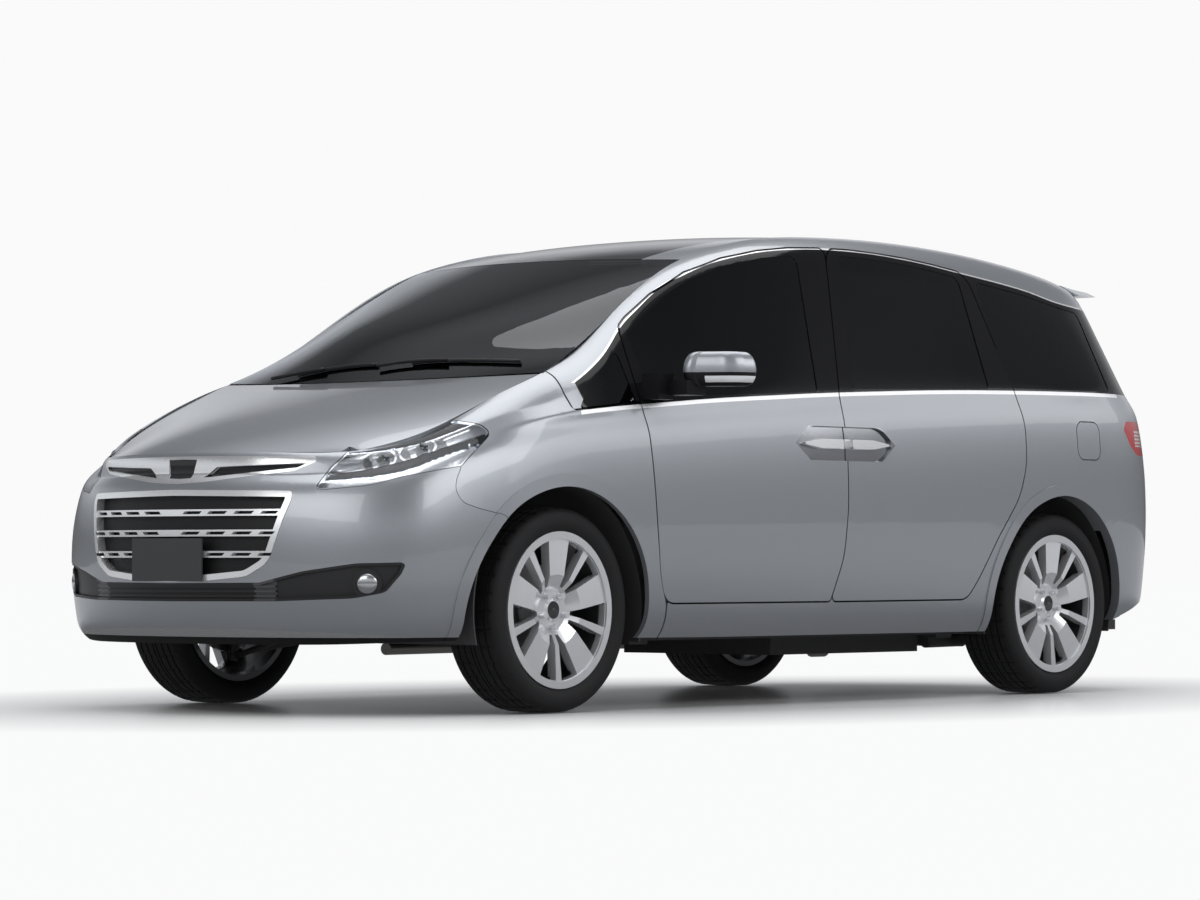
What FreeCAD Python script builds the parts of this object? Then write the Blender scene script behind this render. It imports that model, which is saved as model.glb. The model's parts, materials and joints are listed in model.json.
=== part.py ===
# Minivan, modelled as separate panels, glass, running gear and cabin.
# Frame: +X forward, +Y to the left side, +Z up. The origin is on the ground under the middle of the body.
# Units are millimetres.
import FreeCAD
import Part
import math
import os
from FreeCAD import Placement, Rotation, Vector

doc = FreeCAD.newDocument("minivan")

# Driving dimensions
SIZES = [
    ("overall_length", 4850),
    ("body_width", 1876),
    ("overall_height", 1740),
    ("wheelbase", 2910),
    ("front_overhang", 995),
    ("track", 1535),
    ("tyre_radius", 348),
    ("tyre_width", 235),
    ("arch_radius", 417),
    ("liner_radius", 434),
    ("liner_inner_face", 425),
    ("door_thickness", 54),
    ("wall_thickness", 62),
    ("frame_thickness", 50),
    ("fender_thickness", 14),
    ("bumper_thickness", 34),
    ("roof_thickness", 30),
    ("hood_thickness", 24),
    ("shut_gap", 6),
    ("fit_gap", 0.3),
    ("glass_thickness", 5),
    ("glass_inset", 3),
    ("arch_lip_width", 44),
    ("arch_lip_proud", 5),
    ("floor_height", 236),
    ("lip_depth", 9),
    ("seam_gap", 2),
    ("lens_thickness", 4),
    ("lamp_depth", 44),
    ("lamp_wall", 5),
    ("flap_gap", 4),
    ("flap_thickness", 6),
    ("flap_pocket_depth", 40),
    ("grille_frame_width", 20),
    ("grille_proud", 3),
    ("grille_depth", 30),
    ("bar_inset", 4),
    ("bar_depth", 26),
    ("bar_height", 22),
    ("slot_height", 10),
    ("backing_thickness", 6),
    ("wing_thickness", 20),
    ("slot_depth", 14),
    ("emblem_depth", 3.5),
    ("lower_inset", 14),
    ("lower_depth", 32),
    ("lower_rim_width", 8),
    ("rib_inset", 6),
    ("rib_height", 7),
    ("fog_radius", 38),
    ("fog_ring_width", 10),
    ("fog_lens_inset", 7),
    ("fog_lens_depth", 13),
    ("bowl_radius", 40),
    ("tail_lamp_depth", 30),
    ("handle_proud", 7),
    ("dish_depth", 12),
    ("liner_thickness", 6),
    ("rear_liner_face", 838),
    ("front_liner_face", 870),
    ("spring_radius", 48),
    ("strut_radius", 26),
    ("arm_radius", 20),
    ("ball_radius", 17),
    ("arm_thickness", 22),
    ("carrier_radius", 56),
    ("bore_radius", 20.5),
    ("disc_radius", 160),
    ("disc_gap", 6),
    ("beam_radius", 27),
    ("pipe_radius", 22),
    ("cowl_thickness", 40),
    ("cowl_clearance", 60),
    ("cowl_drop", 8.4),
    ("cushion_radius", 34),
    ("front_lean", 18),
    ("rear_lean", 16),
    ("column_angle", 24),
    ("column_length", 180),
    ("column_radius", 32),
    ("wheel_rim_radius", 185),
    ("wheel_grip_radius", 14),
    ("wheel_hub_radius", 62),
    ("wheel_hub_depth", 40),
    ("wheel_spoke_width", 34),
    ("spoke_count", 5),
    ("nut_radius", 11),
    ("nut_height", 26),
    ("nut_circle_radius", 57.15),
    ("engine_length", 560),
    ("engine_width", 660),
    ("engine_height", 536),
    ("engine_rear", 1340),
    ("engine_right", 330),
    ("engine_bottom", 300.3),
    ("tank_length", 900),
    ("tank_width", 700),
    ("tank_height", 66),
    ("tank_rear", 900),
    ("tank_right", 60),
    ("plate_thickness", 5.5),
    ("rear_plate_thickness", 13.6),
    ("plate_width", 333),
    ("plate_height", 143),
    ("front_plate_bottom", 446),
    ("rear_plate_bottom", 800),
    ("rear_skin_x", 2410.8),
    ("overrun", 400),
]
sheet = doc.addObject("Spreadsheet::Sheet", "sizes")
for row, (alias, value) in enumerate(SIZES, start=1):
    sheet.set("A%d" % row, alias)
    sheet.set("B%d" % row, str(value))
    sheet.setAlias("B%d" % row, alias)
doc.recompute()


def size(alias):
    """A driving dimension, in millimetres."""
    return float(sheet.get(alias))


HALF_LENGTH = size("overall_length") / 2
HALF_WIDTH = size("body_width") / 2
ROOF_TOP_SHARE = 0.9875
HEIGHT = size("overall_height") / ROOF_TOP_SHARE
FRONT_AXLE_X = HALF_LENGTH - size("front_overhang")
REAR_AXLE_X = FRONT_AXLE_X - size("wheelbase")
AXLE_Z = size("tyre_radius")
WHEEL_Y = size("track") / 2
OVERRUN = size("overrun")
GAP = size("shut_gap")
FIT = size("fit_gap")
WALL = size("wall_thickness")
FRAME = size("frame_thickness")
SIDE_VIEW = 90
FRONT_VIEW = 0
REAR_VIEW = 180
CORNER_VIEW = 40
REAR_CORNER_VIEW = 140
UP = Vector(0, 0, 1)


def along(station):
    """X of a station: 0 at the nose, 1 at the front axle, 2 at the rear axle, 3 at the tail."""
    if station <= 1:
        return HALF_LENGTH - station * (HALF_LENGTH - FRONT_AXLE_X)
    if station <= 2:
        return FRONT_AXLE_X - (station - 1) * (FRONT_AXLE_X - REAR_AXLE_X)
    return REAR_AXLE_X - (station - 2) * (REAR_AXLE_X + HALF_LENGTH)


def place(station, width_share, height_share):
    """A point from its station, its share of the half width and its share of the height."""
    return Vector(along(station), width_share * HALF_WIDTH, height_share * HEIGHT)


def mirrored(shape):
    """The same shape on the other side of the car."""
    return shape.mirror(Vector(0, 0, 0), Vector(0, 1, 0))


def smooth(xs, ys, x):
    """Value at x of a smooth curve through the points, with no overshoot between them."""
    last = len(xs) - 1
    steps = [xs[i + 1] - xs[i] for i in range(last)]
    slopes = [(ys[i + 1] - ys[i]) / steps[i] for i in range(last)]
    tangents = [slopes[0]] + [0.0] * (last - 1) + [slopes[-1]]
    for i in range(1, last):
        if slopes[i - 1] * slopes[i] > 0:
            near = 2 * steps[i] + steps[i - 1]
            far = steps[i] + 2 * steps[i - 1]
            tangents[i] = (near + far) / (near / slopes[i - 1] + far / slopes[i])
    i = max([0] + [k for k in range(last) if xs[k] <= x])
    t = min(max((x - xs[i]) / steps[i], 0.0), 1.0)
    rise = (1 + 2 * t) * (1 - t) ** 2 * ys[i] + t * t * (3 - 2 * t) * ys[i + 1]
    return rise + steps[i] * (t * (1 - t) ** 2 * tangents[i] + t * t * (t - 1) * tangents[i + 1])


# Body side and ends as one ring of sections. Each row is a section at a point of the plan outline:
# station, half width, then heights of the sill, waist, top of the glass and top edge,
# then how far the waist, the top of the glass and the top edge lie inside the plan outline.
SECTION_SHARES = [
    (0.007, 0.000, 0.135, 0.455, 0.472, 0.496, 0.066, 0.070, 0.085),
    (0.019, 0.213, 0.135, 0.455, 0.472, 0.496, 0.066, 0.070, 0.085),
    (0.073, 0.448, 0.135, 0.452, 0.470, 0.495, 0.070, 0.077, 0.096),
    (0.164, 0.661, 0.136, 0.455, 0.473, 0.495, 0.083, 0.094, 0.119),
    (0.317, 0.853, 0.140, 0.474, 0.494, 0.514, 0.107, 0.130, 0.176),
    (0.528, 0.943, 0.142, 0.511, 0.531, 0.547, 0.080, 0.104, 0.160),
    (0.769, 0.968, 0.142, 0.545, 0.574, 0.602, 0.051, 0.083, 0.162),
    (1.000, 0.974, 0.142, 0.572, 0.600, 0.648, 0.034, 0.080, 0.166),
    (1.086, 0.983, 0.142, 0.588, 0.668, 0.702, 0.032, 0.114, 0.222),
    (1.182, 0.991, 0.141, 0.601, 0.776, 0.798, 0.034, 0.194, 0.269),
    (1.285, 0.998, 0.140, 0.614, 0.8625, 0.886, 0.036, 0.212, 0.307),
    (1.388, 1.000, 0.140, 0.624, 0.909, 0.935, 0.038, 0.212, 0.328),
    (1.491, 1.000, 0.140, 0.634, 0.932, 0.963, 0.041, 0.213, 0.339),
    (1.612, 1.000, 0.140, 0.643, 0.939, 0.974, 0.041, 0.217, 0.341),
    (1.732, 0.999, 0.140, 0.651, 0.932, 0.976, 0.041, 0.220, 0.343),
    (1.869, 0.994, 0.140, 0.657, 0.911, 0.969, 0.041, 0.220, 0.345),
    (2.000, 0.983, 0.142, 0.661, 0.888, 0.953, 0.038, 0.217, 0.343),
    (2.339, 0.972, 0.149, 0.663, 0.861, 0.932, 0.038, 0.217, 0.346),
    (2.593, 0.949, 0.156, 0.662, 0.852, 0.918, 0.064, 0.240, 0.368),
    (2.778, 0.858, 0.162, 0.653, 0.852, 0.912, 0.096, 0.279, 0.373),
    (2.905, 0.682, 0.165, 0.648, 0.852, 0.912, 0.098, 0.279, 0.341),
    (2.968, 0.373, 0.165, 0.645, 0.852, 0.916, 0.098, 0.279, 0.320),
    (2.989, 0.000, 0.165, 0.645, 0.852, 0.919, 0.098, 0.279, 0.309),
]
# Below the waist: share of the height from sill to waist, and how far in the wall lies there
LOWER_WALL_SHARES = [
    (0.000, 0.066),
    (0.045, 0.030),
    (0.140, 0.019),
    (0.220, 0.013),
    (0.330, 0.004),
    (0.500, 0.000),
    (0.660, 0.000),
    (0.800, 0.003),
    (0.900, 0.011),
    (0.955, 0.023),
]
# Above the waist: share of the glass height, then share of the rail's width and height above the glass
GLASS_ROW_SHARES = [0.0, 0.14, 0.5, 0.86, 1.0]
RAIL_ROW_SHARES = [(0.30, 0.55), (0.65, 0.86), (1.0, 1.0)]
# Upper rows: how much of a panel's thickness is left, and how much of it is measured downward
DEPTH_SHARES = [1.0, 1.0, 1.0, 0.8, 0.5, 0.5, 0.5, 0.5]
DOWNWARD_SHARES = [0.0, 0.0, 0.0, 0.0, 0.2, 0.6, 0.85, 1.0]
# Rows of the inner frame, which stops below the roof rail
FRAME_ROW_SHARES = [0.0, 0.2, 0.5, 0.75, 0.93]
LAST_SECTION = len(SECTION_SHARES) - 1
RING = 2 * LAST_SECTION


def section_row(index):
    """The section at a place of the ring: 0 at the nose, LAST_SECTION at the tail, then back on the right."""
    index = index % RING
    if index <= LAST_SECTION:
        return SECTION_SHARES[index], 1
    return SECTION_SHARES[RING - index], -1


def plan_point(index):
    row, side = section_row(index)
    return Vector(along(row[0]), side * row[1] * HALF_WIDTH, 0)


def outward(index):
    """Unit vector out of the plan outline at a section."""
    run = plan_point(index - 1) - plan_point(index + 1)
    normal = Vector(-run.y, run.x, 0)
    if normal.dot(plan_point(index)) < 0:
        normal = -normal
    return normal.normalize()


def lower_section(index, depth):
    """Points of one section from sill to just under the waist, at a depth inside the skin."""
    row, side = section_row(index)
    sill, waist = row[2] * HEIGHT, row[3] * HEIGHT
    inward = -outward(index)
    points = []
    for share, inset_share in LOWER_WALL_SHARES:
        lean = row[6] * HALF_WIDTH * max(0.0, share - 0.6) * 0.875
        inset = inset_share * HALF_WIDTH + lean + depth
        points.append(plan_point(index) + inward * inset + UP * (sill + share * (waist - sill)))
    return points


def section(index, depth):
    """Points of one section from sill to top edge, at a depth inside the skin."""
    row, side = section_row(index)
    waist, top, edge = [share * HEIGHT for share in row[3:6]]
    waist_in, top_in, edge_in = [share * HALF_WIDTH for share in row[6:9]]
    inward = -outward(index)
    points = lower_section(index, depth)
    upper = [(waist_in + (top_in - waist_in) * s, waist + (top - waist) * s) for s in GLASS_ROW_SHARES]
    for width_share, rise_share in RAIL_ROW_SHARES:
        upper.append((top_in + (edge_in - top_in) * width_share, top + (edge - top) * rise_share))
    for (inset, z), left, down in zip(upper, DEPTH_SHARES, DOWNWARD_SHARES):
        inset_deep = inset + depth * left * math.sqrt(1 - down * down)
        points.append(plan_point(index) + inward * inset_deep + UP * (z - depth * left * down))
    return points


def frame_section(index, depth):
    """Points of one section of the inner frame."""
    row, side = section_row(index)
    waist, top = row[3] * HEIGHT, row[4] * HEIGHT
    waist_in, top_in = row[6] * HALF_WIDTH, row[7] * HALF_WIDTH
    points = lower_section(index, depth)
    for share in FRAME_ROW_SHARES:
        inset = waist_in + (top_in - waist_in) * share + depth
        points.append(plan_point(index) - outward(index) * inset + UP * (waist + (top - waist) * share))
    return points


def through(columns, rounds=3):
    """Moves the control columns out so that the closed ring's surface passes through the sections."""
    count = len(columns)
    result = [list(column) for column in columns]
    for _ in range(rounds):
        moved = []
        for i in range(count):
            before = result[i - 1]
            after = result[(i + 1) % count]
            column = []
            for target, point, low, high in zip(columns[i], result[i], before, after):
                on_surface = (low + point * 4 + high) * (1 / 6)
                column.append(point + (target - on_surface))
            moved.append(column)
        result = moved
    return result


RINGS = {}


def ring(depth, rows):
    """Control columns of the whole ring at a depth."""
    if (depth, rows) not in RINGS:
        RINGS[depth, rows] = through([rows(i, depth) for i in range(RING)])
    return RINGS[depth, rows]


def spline(poles):
    """Smooth surface on a grid of control points."""
    counts = (len(poles), len(poles[0]))
    degrees = [min(3, count - 1) for count in counts]
    knots = [[float(k) for k in range(count - degree + 1)] for count, degree in zip(counts, degrees)]
    repeats = [[degree + 1] + [1] * (len(ks) - 2) + [degree + 1] for ks, degree in zip(knots, degrees)]
    surface = Part.BSplineSurface()
    surface.buildFromPolesMultsKnots(
        poles, repeats[0], repeats[1], knots[0], knots[1], False, False, degrees[0], degrees[1])
    return surface


def border(surface, side):
    """Poles, knots, repeats and degree of one border of a surface."""
    poles = surface.getPoles()
    if side in ("first_u", "last_u"):
        line = poles[0] if side == "first_u" else poles[-1]
        return line, surface.getVKnots(), surface.getVMultiplicities(), surface.VDegree
    line = [row[0] for row in poles] if side == "first_v" else [row[-1] for row in poles]
    return line, surface.getUKnots(), surface.getUMultiplicities(), surface.UDegree


def between(outer, inner):
    """Closed solid between two surfaces that share their parameters."""
    faces = [outer.toShape(), inner.toShape()]
    for side in ("first_u", "last_u", "first_v", "last_v"):
        near, knots, repeats, degree = border(outer, side)
        far = border(inner, side)[0]
        strip = Part.BSplineSurface()
        strip.buildFromPolesMultsKnots(
            [near, far], [2, 2], repeats, [0.0, 1.0], knots, False, False, 1, degree)
        faces.append(strip.toShape())
    shell = Part.Shell(faces)
    shell.sewShape()
    solid = Part.Solid(shell)
    if solid.Volume < 0:
        solid.reverse()
    return solid


MARGIN_SPANS = 3


def wall_surface(first, last, depth, rows=section):
    columns = [ring(depth, rows)[i % RING] for i in range(first - MARGIN_SPANS - 1,
        last + MARGIN_SPANS + 2)]
    surface = spline(columns)
    surface.segment(float(MARGIN_SPANS), float(MARGIN_SPANS + last - first), *surface.bounds()[2:])
    return surface


def wall(first, last, outer_depth, inner_depth, rows=section):
    """The wall between two depths, from one section to another."""
    return between(wall_surface(first, last, outer_depth, rows),
        wall_surface(first, last, inner_depth, rows))


def flat_frame(view):
    """Direction of sight and the horizontal axis of a view, from its azimuth."""
    angle = math.radians(view)
    return Vector(math.cos(angle), math.sin(angle), 0), Vector(-math.sin(angle), math.cos(angle), 0)


def grown(corners, distance):
    """Moves a closed outline outward by a distance. Each corner is (across, up, radius)."""
    count = len(corners)
    area = sum(corners[i - 1][0] * corners[i][1] - corners[i][0] * corners[i - 1][1] for i in range(count))
    turn = 1 if area > 0 else -1
    result = []
    for i in range(count):
        before = corners[i - 1]
        here = corners[i]
        after = corners[(i + 1) % count]
        a = Vector(here[0] - before[0], here[1] - before[1], 0).normalize()
        b = Vector(after[0] - here[0], after[1] - here[1], 0).normalize()
        out_a = Vector(a.y, -a.x, 0) * turn
        out_b = Vector(b.y, -b.x, 0) * turn
        middle = (out_a + out_b).normalize()
        step = distance / max(middle.dot(out_a), 0.5)
        convex = (a.x * b.y - a.y * b.x) * turn > 0
        radius = here[2] + (distance if convex else -distance) if here[2] > 0 else 0.0
        result.append((here[0] + middle.x * step, here[1] + middle.y * step, max(radius, 0.0)))
    return result


def closed_wire(corners, across, origin):
    """Wire through the corners, each rounded by its radius as far as its sides allow."""
    points = [Vector(*corner[:2], 0) for corner in corners]
    count = len(points)
    trims = []
    for i in range(count):
        a = (points[i] - points[i - 1]).normalize()
        b = (points[(i + 1) % count] - points[i]).normalize()
        turn = math.acos(max(-1.0, min(1.0, a.dot(b))))
        room = min((points[i] - points[i - 1]).Length, (points[(i + 1) % count] - points[i]).Length) * 0.49
        tangent = math.tan(turn / 2)
        trims.append((a, b, turn, min(corners[i][2] * tangent, room) if turn > 0.01 else 0.0))

    def lifted(point):
        return origin + across * point.x + UP * point.y

    edges = []
    for i in range(count):
        a, b, turn, trim = trims[i]
        start = points[i] - a * trim
        end = points[i] + b * trim
        if trim > 0:
            radius = trim / math.tan(turn / 2)
            centre = points[i] + (b - a).normalize() * (radius / math.cos(turn / 2))
            middle = centre + (points[i] - centre).normalize() * radius
            edges.append(Part.Arc(lifted(start), lifted(middle), lifted(end)).toShape())
        following = trims[(i + 1) % count]
        next_start = points[(i + 1) % count] - following[0] * following[3]
        if (next_start - end).Length > 1e-4:
            edges.append(Part.makeLine(lifted(end), lifted(next_start)))
    return Part.Wire(edges)


def outline(points, view):
    """Corners (across, up, radius) of points given as (station, width share, height share, radius share)."""
    across = flat_frame(view)[1]
    corners = []
    for station, width_share, height_share, *radius_share in points:
        point = place(station, width_share, height_share)
        radius = radius_share[0] * HEIGHT if radius_share else 0.0
        corners.append((point.dot(across), point.z, radius))
    return corners


def prism(points, view, grow=0.0, near_share=0.15, far_share=1.1):
    """Solid that an outline sweeps along its direction of sight, from near the middle out past the skin."""
    sight, across = flat_frame(view)
    reach = HALF_LENGTH if view in (FRONT_VIEW, REAR_VIEW) else HALF_WIDTH
    if view in (CORNER_VIEW, REAR_CORNER_VIEW):
        reach = HALF_LENGTH
    corners = outline(points, view)
    if grow:
        corners = grown(corners, grow)
    wire = closed_wire(corners, across, sight * (near_share * reach))
    return Part.Face(wire).extrude(sight * ((far_share - near_share) * reach))


def section_line(column):
    """A height of the sections, as (x, z) lists of the left side from front to back, ordered by x."""
    places = sorted((along(row[0]), row[column] * HEIGHT) for row in SECTION_SHARES[1:-1])
    return [p[0] for p in places], [p[1] for p in places]


def height_share_at(column, station):
    xs, zs = section_line(column)
    return smooth(xs, zs, along(station)) / HEIGHT


GLASS_TOP = 4


def along_line(column, stations, drop_share=0.0, radius_share=0.0):
    """Outline points on one of the section heights, lowered by a share of the height."""
    return [(s, 1.0, height_share_at(column, s) - drop_share, radius_share) for s in stations]


# Wheel arch: radius around the axle at angles from the front, as shares of the arch radius
ARCH_SHARES = [(-20, 1.16), (0, 1.13), (18, 1.09), (34, 1.05), (50, 1.03), (70, 1.005), (90, 1.0),
               (110, 1.0), (130, 1.0), (150, 1.0), (170, 1.0), (190, 1.0), (200, 1.0)]


def arch_prism(axle_x, widen=0.0, near_share=0.15):
    """Solid of a wheel opening, widened by a distance."""
    points = []
    for angle, share in ARCH_SHARES:
        radius = share * size("arch_radius") + widen
        turn = math.radians(angle)
        points.append(Vector(axle_x + radius * math.cos(turn), 0, AXLE_Z + radius * math.sin(turn)))
    curve = Part.BSplineCurve()
    curve.interpolate(points)
    low_front = Vector(points[0].x, 0, -OVERRUN)
    low_rear = Vector(points[-1].x, 0, -OVERRUN)
    lines = [Part.makeLine(points[-1], low_rear), Part.makeLine(low_rear, low_front),
             Part.makeLine(low_front, points[0])]
    face = Part.Face(Part.Wire([curve.toShape()] + lines))
    face.translate(Vector(0, near_share * HALF_WIDTH, 0))
    return face.extrude(Vector(0, HALF_WIDTH, 0))


# Side view outlines: station, 1, height share, corner radius share
FRONT_DOOR_STATIONS = [1.545, 1.49, 1.43, 1.36, 1.29, 1.225, 1.172, 1.150]
FRONT_DOOR_SHARES = [
    (1.139, 1, 0.596, 0.02),
    (1.146, 1, 0.555, 0.30),
    (1.149, 1, 0.480, 0.60),
    (1.155, 1, 0.364, 0.60),
    (1.163, 1, 0.260, 0.20),
    (1.176, 1, 0.2095, 0.035),
    (1.490, 1, 0.2095, 0.010),
    (1.5125, 1, 0.300, 0.20),
    (1.5195, 1, 0.400, 0.20),
    (1.5205, 1, 0.520, 0.20),
    (1.5175, 1, 0.634, 0.05),
] + along_line(GLASS_TOP, [1.562] + FRONT_DOOR_STATIONS, -0.006, 0.05)
SLIDING_DOOR_SHARES = [
    (1.4925, 1, 0.2095, 0.010),
    (1.779, 1, 0.2105, 0.05),
    (1.802, 1, 0.252, 0.15),
    (1.843, 1, 0.342, 0.30),
    (1.892, 1, 0.430, 0.15),
    (1.910, 1, 0.500, 0.15),
    (1.912, 1, 0.590, 0.15),
    (1.899, 1, 0.657, 0.05),
] + along_line(GLASS_TOP, [1.869, 1.80, 1.74, 1.68, 1.62, 1.564], -0.006, 0.05) + [
    (1.5195, 1, 0.634, 0.05),
    (1.5225, 1, 0.520, 0.20),
    (1.5215, 1, 0.400, 0.20),
    (1.5145, 1, 0.300, 0.20),
]
# Side windows, inside the frames
FRONT_GLASS_SHARES = [(1.162, 1, 0.612, 0.02), (1.476, 1, 0.638, 0.01)] + along_line(
    GLASS_TOP, [1.500, 1.43, 1.36, 1.29, 1.23, 1.158], 0.008, 0.02)
SLIDING_GLASS_SHARES = [(1.553, 1, 0.647, 0.01), (1.843, 1, 0.662, 0.01)] + along_line(
    GLASS_TOP, [1.848, 1.78, 1.71, 1.65, 1.586], 0.008, 0.02)
QUARTER_GLASS_SHARES = [(1.893, 1, 0.666, 0.01), (2.420, 1, 0.670, 0.012)] + along_line(
    GLASS_TOP, [2.418, 2.30, 2.15, 2.0, 1.885], 0.008, 0.02)
CORNER_GLASS_SHARES = [(1.034, 1, 0.5865, 0.004), (1.131, 1, 0.6030, 0.01)] + along_line(
    GLASS_TOP, [1.131, 1.10, 1.070], 0.010, 0.01)

# Seam between front bumper and fender, seen from the side, and the fender's outline
FENDER_SEAM_SHARES = [
    (0.524, 1, 0.466, 0.02),
    (0.500, 1, 0.445, 0.04),
    (0.490, 1, 0.425, 0.04),
    (0.510, 1, 0.401, 0.04),
    (0.580, 1, 0.390, 0.10),
    (0.700, 1, 0.377, 0.02),
]
FENDER_SHARES = [(0.524, 1, 0.80)] + FENDER_SEAM_SHARES + [
    (0.760, 1, 0.100),
    (1.176, 1, 0.100),
    (1.176, 1, 0.2060, 0.035),
    (1.162, 1, 0.2600, 0.20),
    (1.153, 1, 0.364, 0.60),
    (1.147, 1, 0.480, 0.60),
    (1.144, 1, 0.555, 0.30),
    (1.137, 1, 0.596, 0.02),
    (1.133, 1, 0.600, 0.01),
    (1.020, 1, 0.580, 0.01),
    (1.020, 1, 0.80),
]
# Headlamp, seen from the front corner
HEADLAMP_SHARES = [
    (0.157, 0.566, 0.423, 0.006),
    (0.218, 0.582, 0.463, 0.06),
    (0.273, 0.626, 0.500, 0.06),
    (0.408, 0.706, 0.530, 0.20),
    (0.530, 0.770, 0.550, 0.10),
    (0.600, 0.815, 0.556, 0.05),
    (0.662, 0.868, 0.549, 0.03),
    (0.687, 0.896, 0.533, 0.012),
    (0.526, 0.910, 0.470, 0.012),
    (0.338, 0.806, 0.449, 0.20),
    (0.265, 0.732, 0.433, 0.20),
]
# Nose, seen from the front
GRILLE_SHARES = [
    (0, 0.000, 0.4265),
    (0, 0.500, 0.4225, 0.008),
    (0, 0.502, 0.4050, 0.02),
    (0, 0.465, 0.336, 0.10),
    (0, 0.436, 0.288, 0.05),
    (0, 0.350, 0.2625, 0.05),
    (0, 0.186, 0.2545, 0.20),
    (0, 0.000, 0.2520),
]
WING_SHARES = [
    (0, 0.000, 0.4900),
    (0, 0.528, 0.4885, 0.005),
    (0, 0.545, 0.4780, 0.008),
    (0, 0.470, 0.4600, 0.03),
    (0, 0.140, 0.4405, 0.05),
    (0, 0.000, 0.4370),
]
WING_SLOT_SHARES = [
    (0, 0.115, 0.4480, 0.004),
    (0, 0.170, 0.4690, 0.006),
    (0, 0.515, 0.4750, 0.003),
    (0, 0.480, 0.4660, 0.004),
]
LOWER_GRILLE_SHARES = [
    (0.02, 0.000, 0.2495),
    (0.063, 0.400, 0.2510, 0.02),
    (0.120, 0.554, 0.272, 0.08),
    (0.216, 0.724, 0.287, 0.10),
    (0.317, 0.852, 0.289, 0.006),
    (0.306, 0.838, 0.266, 0.03),
    (0.283, 0.799, 0.233, 0.02),
    (0.215, 0.711, 0.222, 0.10),
    (0.086, 0.453, 0.2165, 0.10),
    (0.02, 0.000, 0.2155),
]


def both_halves(points):
    """A front view outline from its left half, which starts and ends on the centre line."""
    right = [(station, -width, *rest) for station, width, *rest in reversed(points[1:-1])]
    return points + right


TAIL_LAMP_SHARES = [
    (2.483, 1, 0.586, 0.006),
    (2.512, 1, 0.604, 0.006),
    (3.200, 1, 0.607),
    (3.200, 1, 0.522),
    (2.590, 1, 0.529, 0.03),
    (2.526, 1, 0.553, 0.02),
]
FUEL_FLAP_SHARES = [
    (2.112, 1, 0.516, 0.022),
    (2.112, 1, 0.598, 0.022),
    (2.279, 1, 0.598, 0.022),
    (2.279, 1, 0.516, 0.022),
]
REAR_BUMPER_TOP_SHARE = 0.415
TAILGATE_SIDE_SHARE = 0.745

PIECES = []


def piece(label, shape):
    """Adds one sub-part whose shape is worked out here."""
    feature = doc.addObject("Part::Feature", label)
    feature.Label = label
    feature.Shape = shape
    PIECES.append(feature)
    return feature


def joined(shapes):
    """Several solids as one shape: touching ones fused."""
    return shapes[0].fuse(list(shapes[1:])).removeSplitter() if len(shapes) > 1 else shapes[0]


def loose(shapes):
    """Solids that share a node and don't touch."""
    return Part.Compound([solid for shape in shapes for solid in shape.Solids])


def pair(shape):
    """A left piece and its mirror image in one node."""
    return loose([shape, mirrored(shape)])


def tidy(shape):
    """Drops the slivers that trimming leaves, and keeps real pieces."""
    solids = sorted(shape.Solids, key=lambda solid: -solid.Volume)
    kept = [solid for solid in solids if solid.Volume > solids[0].Volume * 0.02]
    return kept[0] if len(kept) == 1 else Part.Compound(kept)


def block(one, other):
    """Box between two opposite corners."""
    low = Vector(min(one.x, other.x), min(one.y, other.y), min(one.z, other.z))
    high = Vector(max(one.x, other.x), max(one.y, other.y), max(one.z, other.z))
    return Part.makeBox(high.x - low.x, high.y - low.y, high.z - low.z, low)


def rod(start, end, radius):
    """Round bar between two points."""
    run = end - start
    return Part.makeCylinder(radius, run.Length, start, run)


# Top edge of the ring, which the hood, windscreen and roof meet
EDGE_POINTS = sorted(((section(i, 0.0)[-1].x, section(i, 0.0)[-1].y, section(i, 0.0)[-1].z)
                      for i in range(LAST_SECTION + 1)))


def edge_point(x):
    xs = [p[0] for p in EDGE_POINTS]
    return Vector(x, smooth(xs, [p[1] for p in EDGE_POINTS], x), smooth(xs, [p[2] for p in EDGE_POINTS], x))


ACROSS_SHARES = [-1.0, -0.97, -0.8, -0.5, -0.2, 0.2, 0.5, 0.8, 0.97, 1.0]


def cross_surface(ribs, clearance, shift, ditch=0.0):
    """Surface across the car. Each rib is (edge station, centre station, centre height share)."""
    net = []
    for edge_station, centre_station, centre_share in ribs:
        edge = edge_point(along(edge_station))
        centre = place(centre_station, 0, centre_share)
        reach = edge.y - clearance
        row = []
        for share in ACROSS_SHARES:
            blend = share * share
            x = centre.x + (edge.x - centre.x) * blend
            z = centre.z + (edge.z - centre.z) * blend
            if abs(share) == 1.0:
                z = z - ditch
            row.append(Vector(x, reach * share, z) + shift)
        net.append(row)
    return spline(net)


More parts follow.
